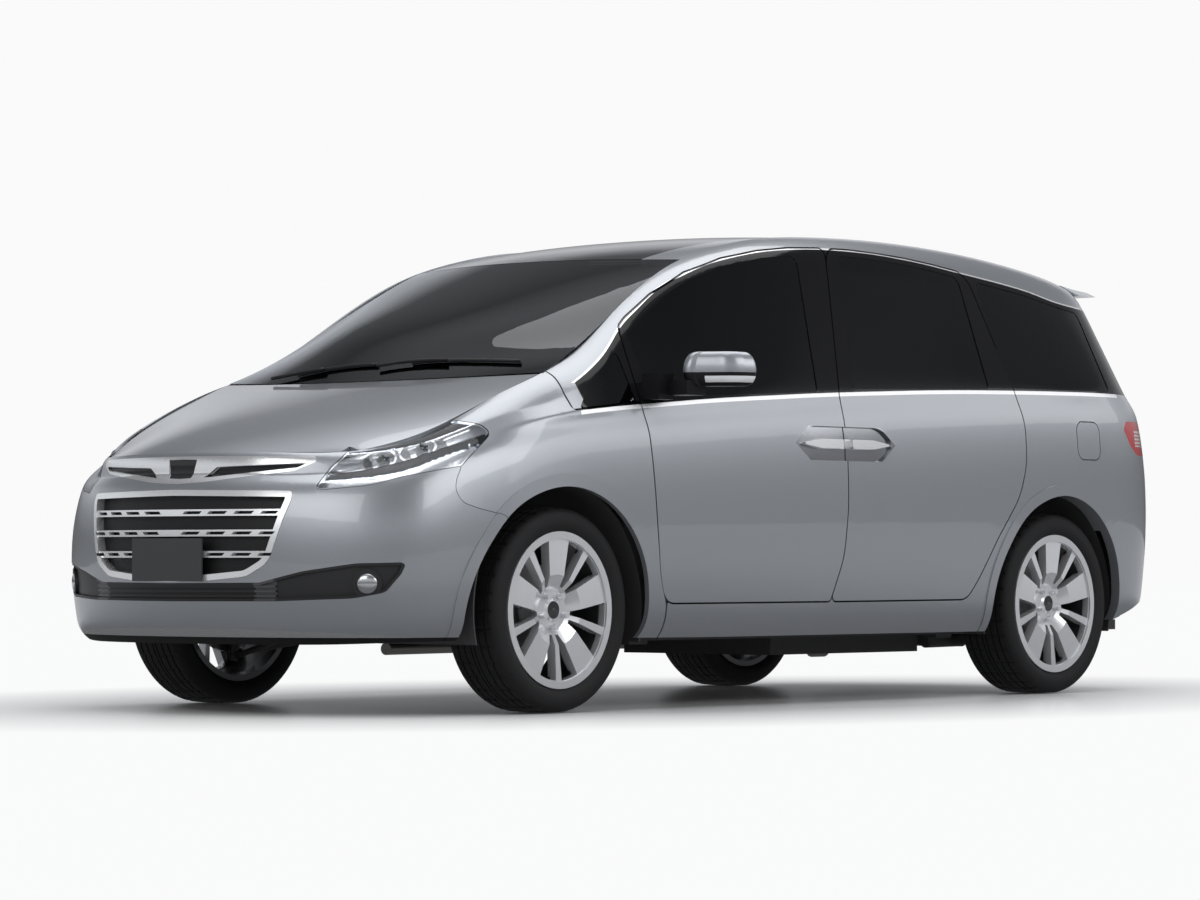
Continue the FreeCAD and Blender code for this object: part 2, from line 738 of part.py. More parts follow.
# Hood, windscreen and roof ribs: edge station, centre station, centre height share
HOOD_RIB_SHARES = [
    (0.2685, 0.0960, 0.4965),
    (0.3000, 0.1250, 0.5100),
    (0.3800, 0.2100, 0.5350),
    (0.5200, 0.3900, 0.5720),
    (0.7200, 0.5900, 0.6050),
    (0.9000, 0.7500, 0.6300),
    (1.0080, 0.8460, 0.6430),
]
SCREEN_RIB_SHARES = [
    (1.0150, 0.8560, 0.6445),
    (1.0700, 0.9200, 0.6720),
    (1.1500, 1.0160, 0.7400),
    (1.2300, 1.1250, 0.8170),
    (1.2900, 1.2100, 0.8720),
    (1.3150, 1.2680, 0.9080),
]
ROOF_RIB_SHARES = [
    (1.3160, 1.2690, 0.9090),
    (1.3600, 1.3200, 0.9330),
    (1.4600, 1.4300, 0.9650),
    (1.5900, 1.5700, 0.9860),
    (1.7200, 1.7100, 0.9900),
    (1.8600, 1.8600, 0.9830),
    (2.0200, 2.0200, 0.9670),
    (2.3200, 2.3200, 0.9510),
    (2.5300, 2.5500, 0.9390),
]
ROOF_DITCH_SHARE = 0.0028


def top_panel(ribs, thickness, clearance, ditch=0.0, shift=Vector(0, 0, 0)):
    outer = cross_surface(ribs, clearance, shift, ditch)
    inner = cross_surface(ribs, clearance, shift - UP * thickness, ditch)
    return between(outer, inner)


hood_skin = top_panel(HOOD_RIB_SHARES, size("hood_thickness"), GAP)
screen = top_panel(SCREEN_RIB_SHARES, size("glass_thickness"), FIT)
roof = top_panel(ROOF_RIB_SHARES, size("roof_thickness"), FIT, ROOF_DITCH_SHARE * HEIGHT)

# Body sides
front_arch = arch_prism(FRONT_AXLE_X)
rear_arch = arch_prism(REAR_AXLE_X)


def wheel_cylinder(axle_x, radius, near=0.0):
    centre = Vector(axle_x, near, AXLE_Z)
    return Part.makeCylinder(radius, HALF_WIDTH + OVERRUN, centre, Vector(0, 1, 0))


def arch_lip(axle_x, first, last, zone):
    """Band round a wheel opening, standing a little proud of the skin, inside a zone of the side."""
    band = wall(first, last, -size("arch_lip_proud"), size("lip_depth"))
    return band.common(arch_prism(axle_x, size("arch_lip_width"))).common(zone)


REAR_BUMPER_SHARES = [
    (2.349, 1, 0.370, 0.01),
    (2.476, 1, 0.400, 0.05),
    (2.575, 1, 0.412, 0.02),
    (2.800, 1, 0.415),
    (3.200, 1, 0.415),
    (3.200, 1, 0.212),
    (2.764, 1, 0.205),
    (2.651, 1, 0.193),
    (2.511, 1, 0.171),
    (2.400, 1, 0.154),
    (2.200, 1, 0.154),
    (2.200, 1, 0.300),
]
REAR_BUMPER_ZONE_SHARES = REAR_BUMPER_SHARES[:5] + [(3.200, 1, 0.100), (2.200, 1, 0.100),
                                                    (2.200, 1, 0.300)]
BEFORE_PILLAR_SHARES = [(1.118, 1, 0.100), (0.800, 1, 0.100), (0.800, 1, 0.900), (1.0235, 1, 0.900),
                        (1.0235, 1, 0.584), (1.118, 1, 0.6015)]
BEFORE_SIDE_SHARES = [(1.1785, 1, 0.100), (0.800, 1, 0.100), (0.800, 1, 0.900), (1.0225, 1, 0.900),
                      (1.0225, 1, 0.5838), (1.160, 1, 0.6073), (1.200, 1, 0.560), (1.200, 1, 0.240),
                      (1.1785, 1, 0.207)]
CORNER_OPENING_SHARES = [(1.040, 1, 0.578), (1.131, 1, 0.594)] + CORNER_GLASS_SHARES[1:] + [
    CORNER_GLASS_SHARES[0]]
liner_outer = size("liner_radius") + FIT


def tailgate_region(grow):
    """Everything behind the roof, above the rear bumper and between the rear corners."""
    half = TAILGATE_SIDE_SHARE * HALF_WIDTH + grow
    low = Vector(-HALF_LENGTH - OVERRUN, -half, REAR_BUMPER_TOP_SHARE * HEIGHT - grow)
    high = Vector(along(2.55) + grow, half, HEIGHT + OVERRUN)
    return block(low, high)


def trimmed(shape, openings):
    """The shape with each opening cut out of it."""
    for opening in openings:
        shape = shape.cut(opening)
    return tidy(shape)


rear_side = block(Vector(-HALF_LENGTH, 0, 0), Vector(along(1.5), HALF_WIDTH + OVERRUN, HEIGHT))
side_skin = wall(7, 20, 0.0, WALL - FIT).fuse(arch_lip(REAR_AXLE_X, 12, 20, rear_side))
side_skin = trimmed(side_skin, (
    prism(BEFORE_SIDE_SHARES, SIDE_VIEW),
    prism(FRONT_DOOR_SHARES, SIDE_VIEW, GAP),
    prism(SLIDING_DOOR_SHARES, SIDE_VIEW, GAP),
    prism(CORNER_OPENING_SHARES, SIDE_VIEW, FIT),
    prism(QUARTER_GLASS_SHARES, SIDE_VIEW, FIT),
    rear_arch,
    prism(REAR_BUMPER_ZONE_SHARES, SIDE_VIEW, FIT),
    prism(TAIL_LAMP_SHARES, SIDE_VIEW, FIT),
    tailgate_region(GAP)))
FLANGE = WALL * 0.72
side_frame = trimmed(wall(7, 20, WALL, WALL + FRAME, frame_section), (
    prism(BEFORE_PILLAR_SHARES, SIDE_VIEW),
    prism(FRONT_DOOR_SHARES, SIDE_VIEW, -FLANGE),
    prism(SLIDING_DOOR_SHARES, SIDE_VIEW, -FLANGE),
    prism(CORNER_OPENING_SHARES, SIDE_VIEW),
    prism(QUARTER_GLASS_SHARES, SIDE_VIEW),
    wheel_cylinder(REAR_AXLE_X, liner_outer),
    wheel_cylinder(FRONT_AXLE_X, liner_outer),
    prism(REAR_BUMPER_ZONE_SHARES, SIDE_VIEW, FIT),
    tailgate_region(GAP)))

# Tables for the pieces below. Points are (station, share of the half width, share of the height).
FLAP_STOP_SHARES = [(2.1799, 1, 0.53688), (2.1799, 1, 0.56753), (2.2116, 1, 0.56753), (2.2116, 1, 0.53688)]
FRONT_PAD_SHARES = [((1.079, 0.6397, 0.26674), (1.189, 1, 0.30079)),
    ((1.079, 0.6397, 0.44267), (1.1821, 1, 0.47672)), ((1.457, 0.6397, 0.39727), (1.5601, 1, 0.437))]
SLIDING_PAD_SHARES = [((1.4914, 0.6397, 0.28376), (1.543, 1, 0.32349)),
    ((1.8351, 0.6397, 0.46537), (1.9725, 1, 0.5051))]
BAR_HEIGHT_SHARES = [0.3040, 0.3440, 0.3825]
SLOT_SPAN_SHARES = [(0.060, 0.142), (0.176, 0.254), (0.288, 0.362), (0.394, 0.455)]
EMBLEM_SHARES = [(0, 0.000, 0.4850), (0, 0.072, 0.4840, 0.004), (0, 0.058, 0.4475, 0.004),
    (0, 0.000, 0.4460)]
FOG_LAMP_SHARE = (0.2362, 0.7463, 0.24971)
RIB_ZONE_SHARES = ((-0.0754, -0.4552, 0.21566), (0.4271, 0.4552, 0.25539))
RIB_HEIGHT_SHARES = [0.2260, 0.2350, 0.2440]
BOWL_SHARES = [(0.3518, 0.7036, 0.47786), (0.4573, 0.7836, 0.49943)]
TAILGATE_TOP_SHARE = 0.893
REAR_GLASS_SHARES = [(0, 0.000, 0.8560), (0, 0.560, 0.8500, 0.02), (0, 0.640, 0.6620, 0.03),
    (0, 0.000, 0.6580)]
# Spoiler sections: half width below, station and height below, half width above, height above, crown
SPOILER_SHARES = [
    (0.675, (2.5566, 0.89312), 0.575, 0.9190, 0.9345),
    (0.650, (2.6772, 0.89312), 0.565, 0.9120, 0.9270),
    (0.610, (2.7704, 0.89726), 0.560, 0.9085, 0.9170),
]
DISH_SHARES = [(1.4175, 1, 0.53177, 0.0199), (1.4467, 1, 0.56753, 0.0681), (1.5924, 1, 0.56753, 0.0681),
    (1.6216, 1, 0.53177, 0.0199), (1.5924, 1, 0.49716, 0.0681), (1.4467, 1, 0.49716, 0.0681)]
FRONT_HANDLE_SHARES = [(1.4261, 1, 0.53177, 0.0023), (1.4674, 1, 0.54142, 0.0062),
    (1.5127, 1, 0.54142, 0.0062), (1.5127, 1, 0.52213, 0.0062), (1.4674, 1, 0.52213, 0.0062)]
SLIDING_HANDLE_SHARES = [(1.5299, 1, 0.52213, 0.0062), (1.5299, 1, 0.54142, 0.0062),
    (1.5739, 1, 0.54142, 0.0062), (1.6137, 1, 0.53177, 0.0023), (1.5739, 1, 0.52213, 0.0062)]
# Mirror housing: plan corners as station and width share, then levels with how much the plan shrinks
MIRROR_PLAN_SHARES = [(1.1656, 1.0501), (1.2007, 1.2516), (1.2378, 1.2729), (1.2082, 1.0554)]
MIRROR_LEVEL_SHARES = [(0.6330, 0.72), (0.6400, 0.90), (0.6600, 1.00), (0.6830, 0.95), (0.6950, 0.84),
    (0.7005, 0.64)]
MIRROR_FOOT_SHARES = [((1.1443, 0.9382, 0.60726), (1.1718, 1.0181, 0.65833)),
    ((1.1615, 0.9915, 0.61577), (1.1959, 1.1087, 0.64415))]
LINER_OPENING_SHARE = 0.3520
FLOOR_SHARES = ((1.1341, -0.8134, 0.13394), (2.4593, 0.8134, 0.15664))
REAR_FLOOR_SHARES = [((2.4444, -0.6397, 0.13394), (2.8677, 0.6397, 0.15664)),
    ((2.8254, -0.4264, 0.13394), (2.9153, 0.4264, 0.20431))]
HOOD_CORNER_SHARES = ((0.3085, 0.5864, 0.47105), (0.2261, 0.661, 0.5051))
JACK_PAD_SHARES = [((1.2131, 0.7196, 0.12599), (1.1787, 0.7836, 0.13394)),
    ((1.8316, 0.7196, 0.12599), (1.7973, 0.7836, 0.13394))]
BACK_PANEL_SHARES = ((3.0, -0.661, 0.17026), (2.700, 0.661, 0.415))
FIREWALL_SHARES = ((1.134, -0.8134, 0.13394), (1.122, 0.8134, 0.58455))
RAIL_SHARES = [((1.1271, 0.3785, 0.20431), (0.2261, 0.452, 0.25539)),
    ((1.1271, 0.597, 0.44608), (0.2864, 0.6823, 0.47105))]
CROSS_MEMBER_SHARES = [((0.2663, -0.5544, 0.20431), (0.2111, 0.5544, 0.26674)),
    ((0.3065, -0.6823, 0.44835), (0.2563, 0.6823, 0.47105)),
                       ((0.2764, -0.3625, 0.19296), (0.2261, 0.3625, 0.45402))]
HOOD_STOP_SHARES = [((0.2864, 0.4584, 0.45402), (0.2563, 0.5011, 0.62428)),
    ((0.9196, 0.629, 0.45402), (0.8794, 0.6716, 0.64244))]
KINGPIN_SHARES = ((1.0, 0.7388, 0.11067), (1.0, 0.6237, 0.44835))
STRUT_FOOT_SHARE = 0.2440
STRUT_TOP_SHARE = 0.4180
SPRING_FOOT_SHARE = 0.4010
TOWER_TOP_SHARE = 0.4480
COWL_RIB_SHARES = [(1.0120, 0.8520, 0.6440), (1.0300, 0.8700, 0.6530), (1.0500, 0.9000, 0.6640)]
# Seats: level blocks, then backrest blocks
FRONT_SEAT_SHARES = (
    [((1.299, -0.661, 0.23836), (1.4777, -0.1173, 0.33484)), ((1.3299, -0.597, 0.15692), (1.4536, -0.1812,
        0.24404))],
    [((1.4399, -0.6503, 0.27241), (1.4777, -0.1279, 0.65833)),
        ((1.4433, -0.5117, 0.65266), (1.4708, -0.2665, 0.76616))])
SECOND_SEAT_SHARES = (
    [((1.6529, -0.6823, 0.24404), (1.8213, -0.1173, 0.34052)), ((1.677, -0.6183, 0.15692), (1.7973, -0.1812,
        0.24971))],
    [((1.7869, -0.6716, 0.27809), (1.8247, -0.1279, 0.65833)), ((1.7904, -0.533, 0.65266), (1.8179, -0.2665,
        0.75481))])
THIRD_SEAT_SHARES = (
    [((1.9347, -0.4424, 0.24404), (2.2751, 0.4424, 0.33484)), ((1.9588, -0.3838, 0.15692), (2.2116, 0.3838,
        0.24971))],
    [((2.1693, -0.4424, 0.27241), (2.2751, 0.4424, 0.62996)), ((2.1799, -0.4051, 0.62712), (2.254, -0.1279,
        0.71509)), ((2.1799, 0.1279, 0.62712), (2.254, 0.4051, 0.71509))])
DASHBOARD_SHARES = [(1.268, 0.31782), (1.2732, 0.43132), (1.2784, 0.51078), (1.268, 0.55902),
    (1.2302, 0.59023), (1.1478, 0.60726), (1.0378, 0.61861),
                    (1.0378, 0.60442), (1.1168, 0.59023), (1.1357, 0.57888), (1.1357, 0.31782)]
DASHBOARD_HALF_SHARE = 0.725
CONSOLE_SHARES = [((1.2234, -0.1173, 0.22701), (1.299, 0.1173, 0.44267)),
    ((1.2852, -0.1013, 0.15692), (1.4708, 0.1013, 0.29511))]
BINNACLE_SHARES = ((1.1821, 0.2452, 0.54483), (1.2646, 0.5437, 0.61009))
STEERING_WHEEL_SHARE = (1.3196, 0.3945, 0.55902)
SPOKE_TURNS_SHARES = [0.0, 0.25, 0.5, 0.75]
# Wheels, as shares of the tyre radius
TYRE_SHARES = [(0.7305, -0.285), (0.767, -0.288), (0.800, -0.320), (0.860, -0.3375), (0.920, -0.332),
    (0.965, -0.310),
               (0.990, -0.270), (0.9975, -0.220), (1.0, -0.100), (1.0, 0.100), (0.9975, 0.220), (0.990,
                   0.270),
               (0.965, 0.310), (0.920, 0.332), (0.860, 0.3375), (0.800, 0.320), (0.767, 0.288), (0.7305,
                   0.285)]
SPOKE_START_ANGLE_SHARE = -0.25
SPOKE_REACH_SHARES = (0.17, 0.72)
WIDE_SPOKE_SHARES = (0.083, 0.153)
THIN_SPOKE_SHARES = (0.020, 0.043)
POCKET_SHARES = [(0.244, -0.1), (0.684, -0.1), (0.684, 0.4), (0.244, 0.4)]
FACE_SHARES = [(0.0, 0.150), (0.240, 0.150), (0.705, 0.180), (0.705, 0.285), (0.690, 0.285), (0.345, 0.262),
               (0.200, 0.195), (0.115, 0.195), (0.090, 0.215), (0.0, 0.220)]
BARREL_SHARES = [(0.690, 0.307), (0.764, 0.307), (0.764, 0.2885), (0.7295, 0.2875), (0.7295, -0.2875),
                 (0.764, -0.2885), (0.764, -0.307), (0.705, -0.307), (0.690, -0.200), (0.690, 0.200)]
HUB_SHARES = [(0.059, -0.148), (0.200, -0.148), (0.200, 0.160), (0.0, 0.160), (0.0, -0.050),
    (0.059, -0.050)]
DISC_SHARES = [(0.059, -0.148), (0.460, -0.148), (0.460, -0.0905), (0.059, -0.0905)]
NUT_FACE_SHARE = 0.185
CARRIER_SHARES = (0.7036, 0.7630, 0.7910)
CALLIPER_SHARES = ((1.0636, 0.7356, 0.16458), (1.0309, 0.8166, 0.23042))
BRACKET_SHARES = ((1.0326, 0.7356, 0.17026), (1.0137, 0.7548, 0.22474))
CALLIPER_SLOT_SHARES = (0.7580, 0.7900)
SUBFRAME_SHARES = [((1.1065, 0.3198, 0.13394), (0.2764, 0.4051, 0.17026))]
SUBFRAME_CROSS_SHARES = [((1.0653, -0.3305, 0.13621), (1.0378, 0.3305, 0.17593)),
    ((0.3668, -0.3305, 0.13394), (0.2764, 0.3305, 0.17026))]
LOWER_ARM_SHARES = [(1.0, 0.3966, 0.14302), (1.0739, 0.3966, 0.14302), (1.0, 0.6397, 0.10897)]
RACK_SHARES = ((1.0739, -0.3518, 0.17707), (1.0739, 0.3518, 0.17707))
REAR_ARM_SHARES = ((1.8557, 0.597, 0.11634), (1.9863, 0.6397, 0.18728), (1.9381, 0.597, 0.11776))
PIVOT_BRACKET_SHARES = ((1.8488, 0.565, 0.10783), (1.866, 0.629, 0.13377))
REAR_SPRING_SHARES = ((1.9725, 0.581, 0.18161), (1.9725, 0.581, 0.44835))
EXHAUST_SHARES = [(1.0447, -0.064, 0.11521), (1.2852, -0.1599, 0.11521), (1.9072, -0.1599, 0.11521),
    (1.9251, -0.1599, 0.08626), (1.9512, -0.1599, 0.08626),
                  (1.9691, -0.1599, 0.11521), (2.2857, -0.1599, 0.11521), (2.4444, -0.4478,
                      0.11521), (2.9153, -0.4478, 0.11521)]
MUFFLER_SHARES = ((2.2963, -0.3198, 0.09251), (2.709, -0.597, 0.13377))


def beside(shape, openings):
    """The shape with each opening, and its mirror image, cut out of it."""
    return trimmed(shape, [side for opening in openings for side in (opening, mirrored(opening))])


def share_block(one, other):
    """Box between two opposite corners given as shares."""
    return block(place(*one), place(*other))


def slab_in(first, last, depths, openings):
    """The wall between two depths, kept only inside all the given solids."""
    shape = wall(first, last, *depths)
    for opening in openings:
        shape = shape.common(opening)
    return tidy(shape)


SEAM = size("seam_gap")
GLASS_DEPTHS = (size("glass_inset"), size("glass_inset") + size("glass_thickness"))

# Body sides, with the filler pocket on the left only
flap_opening = prism(FUEL_FLAP_SHARES, SIDE_VIEW, size("flap_gap"))
flap_pocket = flap_opening.common(wall(14, 20, -size("flap_gap"), size("flap_pocket_depth")))
flap_stop = slab_in(14, 20, (size("flap_thickness") + FIT, size("flap_pocket_depth") + SEAM),
                    [prism(FLAP_STOP_SHARES, SIDE_VIEW)])
piece("body_sides", loose([side_skin.cut(flap_pocket).fuse(flap_stop), mirrored(side_skin)]))
piece("fuel_flap", slab_in(14, 20, (0.0, size("flap_thickness")), [prism(FUEL_FLAP_SHARES, SIDE_VIEW)]))

# Pads on the inner frame that the closed doors lie against
PAD_DEPTHS = (size("door_thickness") + FIT, WALL + FRAME / 4)


def edge_pads(points, boxes):
    """Pads along the edge of a door, inside the given boxes."""
    near_edge = prism(points, SIDE_VIEW, -SEAM)
    inside = prism(points, SIDE_VIEW, SEAM - FLANGE)
    slab = wall(7, 16, *PAD_DEPTHS)
    return [tidy(slab.common(share_block(*corners)).common(near_edge).cut(inside)) for corners in boxes]


pads = edge_pads(FRONT_DOOR_SHARES, FRONT_PAD_SHARES) + edge_pads(SLIDING_DOOR_SHARES, SLIDING_PAD_SHARES)
piece("side_frames", pair(side_frame.fuse(pads)))
piece("roof_panel", roof)
piece("windscreen", screen)

# Front fenders and bumper
fender_zone = prism(FENDER_SHARES, SIDE_VIEW)
headlamp_zone = prism(HEADLAMP_SHARES, CORNER_VIEW)
headlamp_opening = prism(HEADLAMP_SHARES, CORNER_VIEW, SEAM)
fender = wall(3, 10, 0.0, size("fender_thickness")).common(fender_zone)
fender = trimmed(fender.fuse(arch_lip(FRONT_AXLE_X, 3, 10, fender_zone)), (front_arch, headlamp_opening))
piece("fenders", pair(fender))


def nose_prism(points, grow=0.0):
    return prism(both_halves(points), FRONT_VIEW, grow, 0.5)


def nose_panel(points, outer_depth, inner_depth, grow=0.0):
    """Part of the nose inside an outline seen from the front, between two depths."""
    return wall(-5, 5, outer_depth, inner_depth).common(nose_prism(points, grow))


front_lip = arch_lip(FRONT_AXLE_X, 2, 6, block(Vector(FRONT_AXLE_X, 0, 0), Vector(HALF_LENGTH,
    HALF_WIDTH + OVERRUN, HEIGHT)))
front_bumper = wall(-6, 6, 0.0, size("bumper_thickness")).fuse([front_lip, mirrored(front_lip)])
front_bumper = beside(front_bumper, (prism(FENDER_SHARES, SIDE_VIEW, SEAM), headlamp_opening, front_arch))
front_bumper = trimmed(front_bumper, [nose_prism(points, FIT) for points in (
    GRILLE_SHARES, WING_SHARES, LOWER_GRILLE_SHARES)])
piece("front_bumper", front_bumper)

# Main grille: frame, three slotted bars and the dark panel behind them
grille_frame = nose_panel(GRILLE_SHARES, -size("grille_proud"), size("grille_depth")).cut(
    nose_prism(GRILLE_SHARES, -size("grille_frame_width")))
bar_zone = nose_panel(GRILLE_SHARES, size("bar_inset"), size("bar_depth"),
    -size("grille_frame_width") + SEAM)
half_bar = size("bar_height") / 2


def slanted_slot(near_share, far_share, height_share):
    """Slanted slot of a grille bar."""
    half_height = size("slot_height") / 2
    centre = height_share * HEIGHT
    across = [near_share * HALF_WIDTH, far_share * HALF_WIDTH]
    corners = [(across[0] - half_height, centre - half_height),
        (across[1] - half_height, centre - half_height),
               (across[1] + half_height, centre + half_height), (across[0] + half_height,
                   centre + half_height)]
    points = [Vector(HALF_LENGTH / 2, y, z) for y, z in corners + corners[:1]]
    return Part.Face(Part.makePolygon(points)).extrude(Vector(HALF_LENGTH, 0, 0))


bars = []
slots = []
for height_share in BAR_HEIGHT_SHARES:
    level = Vector(0, 0, height_share * HEIGHT)
    half_width = Vector(HALF_LENGTH, HALF_WIDTH, half_bar)
    bars.append(bar_zone.common(block(level - half_width, level + half_width)))
    for near_share, far_share in SLOT_SPAN_SHARES:
        slot = slanted_slot(near_share, far_share, height_share)
        slots += [slot, mirrored(slot)]
main_grille = grille_frame.fuse(bars).cut(Part.Compound(slots))
piece("main_grille", tidy(main_grille))
backing_depths = (size("grille_depth") + FIT, size("grille_depth") + FIT + size("backing_thickness"))
grille_back = nose_panel(GRILLE_SHARES, *backing_depths, -FIT)

# Bright wing above it, with a slot each side and a plain panel in the middle
wing = nose_panel(WING_SHARES, -FIT, size("wing_thickness"))
wing_slots = nose_panel(WING_SHARES, -SEAM, size("slot_depth")).common(
    prism(WING_SLOT_SHARES, FRONT_VIEW, 0.0, 0.5))
wing = beside(wing, [wing_slots])
emblem = nose_panel(WING_SHARES, -SEAM, size("emblem_depth")).common(nose_prism(EMBLEM_SHARES))
piece("upper_grille", trimmed(wing, [emblem]))
piece("grille_backing", grille_back)

# Lower grille with its ribs, and the fog lamps at its ends
fog_axis = flat_frame(CORNER_VIEW)[0] * size("bumper_thickness") * 2
fog_centre = place(*FOG_LAMP_SHARE)


def fog_rod(radius):
    return rod(fog_centre - fog_axis, fog_centre + fog_axis, radius)


lower_depths = (size("lower_inset"), size("lower_depth"))
lower = nose_panel(LOWER_GRILLE_SHARES, *lower_depths)
lower_rim = nose_panel(LOWER_GRILLE_SHARES, SEAM, size("lower_depth")).cut(
    nose_prism(LOWER_GRILLE_SHARES, -size("lower_rim_width")))
rib_zone = nose_panel(LOWER_GRILLE_SHARES, size("rib_inset"), size("lower_depth") - SEAM, -SEAM).common(
    share_block(*RIB_ZONE_SHARES))
half_rib = Vector(HALF_LENGTH, HALF_WIDTH, size("rib_height") / 2)
ribs = []
for height_share in RIB_HEIGHT_SHARES:
    level = Vector(0, 0, height_share * HEIGHT)
    ribs.append(rib_zone.common(block(level - half_rib, level + half_rib)))
fog_ring = wall(1, 5, size("glass_inset"), size("lower_depth") - SEAM).common(
    fog_rod(size("fog_radius") + size("fog_ring_width")))
lower = lower.fuse([lower_rim, fog_ring, mirrored(fog_ring)] + ribs)
lower = beside(lower, [fog_rod(size("fog_radius"))])
piece("lower_grille", trimmed(lower, [nose_prism(GRILLE_SHARES, FIT)]))
fog_lens = wall(1, 5, size("fog_lens_inset"),
    size("fog_lens_depth")).common(fog_rod(size("fog_radius") - FIT))
piece("fog_lamps", pair(fog_lens))

# Headlamps: clear lens and the housing with two bowls behind it
behind_lens = size("lens_thickness") + FIT
lens = slab_in(2, 7, (0.0, size("lens_thickness")), [headlamp_zone])
tray = slab_in(2, 7, (behind_lens, size("lamp_depth")), [headlamp_zone])
hollow = wall(2, 7, -SEAM, size("lamp_depth") - size("lamp_wall")).common(
    prism(HEADLAMP_SHARES, CORNER_VIEW, -size("lamp_wall")))
bowl_run = Vector(size("lamp_depth") * 2, 0, 0)
bowl_space = wall(2, 7, behind_lens + SEAM, size("lamp_depth") - SEAM).common(
    prism(HEADLAMP_SHARES, CORNER_VIEW, -SEAM))
bowls = []
for bowl_share in BOWL_SHARES:
    centre = place(*bowl_share)
    outer = rod(centre - bowl_run, centre + bowl_run, size("bowl_radius"))
    inner = rod(centre - bowl_run, centre + bowl_run, size("bowl_radius") - size("lamp_wall"))
    bowls.append(bowl_space.common(outer.cut(inner)))
piece("headlamp_lenses", pair(lens))
piece("headlamp_housings", pair(tray.cut(hollow).fuse(bowls)))

# Hood
piece("hood", hood_skin)
above_hood = top_panel(HOOD_RIB_SHARES, OVERRUN + size("hood_thickness") / 2, 0.0, 0.0, UP * OVERRUN)

# Rear bumper, tail lamps and tailgate
rear_lip = arch_lip(REAR_AXLE_X, 12, 20, prism(REAR_BUMPER_SHARES, SIDE_VIEW))
rear_bumper = wall(15, 29, 0.0, size("bumper_thickness")).common(
    prism(REAR_BUMPER_SHARES, SIDE_VIEW, 0.0, -1.1, 1.1)).fuse([rear_lip, mirrored(rear_lip)])
rear_bumper = trimmed(beside(rear_bumper, [rear_arch]), [tailgate_region(GAP)])
piece("rear_bumper", rear_bumper)
tail_lamp = slab_in(16, 21, (0.0, size("tail_lamp_depth")), [prism(TAIL_LAMP_SHARES, SIDE_VIEW)])
piece("tail_lamps", pair(trimmed(tail_lamp, [tailgate_region(GAP)])))
tailgate_top = Vector(HALF_LENGTH, HALF_WIDTH, TAILGATE_TOP_SHARE * HEIGHT)
tailgate = wall(17, 27, 0.0, WALL).common(tailgate_region(0.0)).common(
    block(Vector(-HALF_LENGTH, -HALF_WIDTH, 0), tailgate_top))
rear_glass_zone = prism(both_halves(REAR_GLASS_SHARES), REAR_VIEW, 0.0, 0.5)
piece("tailgate", trimmed(tailgate, [rear_glass_zone]))
piece("tailgate_glass", slab_in(17, 27, GLASS_DEPTHS, [prism(both_halves(REAR_GLASS_SHARES), REAR_VIEW,
    -FIT, 0.5)]))


def cross_wire(low_half, low, high_half, high, crown):
    """Closed outline across the car: flat below, crowned above. All points are shares."""
    station = low[0]
    points = [place(station, -low_half, low[1]), place(station, low_half, low[1]),
              place(station, high_half, high), place(station, 0, crown), place(station, -high_half, high)]
    sides = [Part.makeLine(points[4], points[0]), Part.makeLine(points[0], points[1]),
             Part.makeLine(points[1], points[2])]
    return Part.Wire(sides + [Part.Arc(points[2], points[3], points[4]).toShape()])


spoiler = Part.makeLoft([cross_wire(*row) for row in SPOILER_SHARES], True, True)
piece("tailgate_spoiler", spoiler)

# Doors, their handles and the side windows
dish = wall(9, 16, -size("handle_proud"), size("dish_depth")).common(prism(DISH_SHARES, SIDE_VIEW))
handle_depths = (-size("handle_proud"), size("dish_depth") + SEAM)


def door(points, glass_points, handle_points):
    """A side door as thick as its skin and inner panel together, with its window cut and its handle."""
    panel = wall(7, 17, 0.0, size("door_thickness")).common(prism(points, SIDE_VIEW))
    panel = panel.cut(prism(glass_points, SIDE_VIEW)).cut(dish)
    handle = slab_in(9, 16, handle_depths, [prism(handle_points, SIDE_VIEW)])
    return tidy(panel.fuse(handle))


def window(points):
    return slab_in(7, 19, GLASS_DEPTHS, [prism(points, SIDE_VIEW, -FIT)])


front_door = door(FRONT_DOOR_SHARES, FRONT_GLASS_SHARES, FRONT_HANDLE_SHARES)
front_glass = window(FRONT_GLASS_SHARES)
sliding_door = door(SLIDING_DOOR_SHARES, SLIDING_GLASS_SHARES, SLIDING_HANDLE_SHARES)
for label, shape in (("front_door", front_door), ("front_door_glass", front_glass)):
    piece(label + "_left", shape)
    piece(label + "_right", mirrored(shape))
piece("sliding_doors", pair(sliding_door))
piece("sliding_door_glass", pair(window(SLIDING_GLASS_SHARES)))
piece("fixed_side_glass", loose([pair(window(CORNER_GLASS_SHARES)), pair(window(QUARTER_GLASS_SHARES))]))

# Mirrors: housing through level sections, and the foot on the door
def level_wire(height_share, shrink_share):
    """Rounded outline of the mirror housing at one height."""
    corners = [place(station, width, height_share) for station, width in MIRROR_PLAN_SHARES]
    middle = Vector(0, 0, 0)
    for corner in corners:
        middle = middle + corner * (1 / len(corners))
    corners = [middle + (corner - middle) * shrink_share for corner in corners]
    count = len(corners)
    edges = []
    for i in range(count):
        before = corners[i - 1]
        here = corners[i]
        after = corners[(i + 1) % count]
        start = here + (before - here) * 0.3
        end = here + (after - here) * 0.3
        turn = here + ((start + end) * 0.5 - here) * 0.5
        next_start = after + (here - after) * 0.3
        edges += [Part.Arc(start, turn, end).toShape(), Part.makeLine(end, next_start)]
    return Part.Wire(edges)


housing = Part.makeLoft([level_wire(*row) for row in MIRROR_LEVEL_SHARES], True, False)
foot = [share_block(*corners) for corners in MIRROR_FOOT_SHARES]
mirror = housing.fuse(foot).cut(wall(7, 13, -FIT, WALL))
mirror = tidy(mirror)
piece("mirror_left", mirror)
piece("mirror_right", mirrored(mirror))

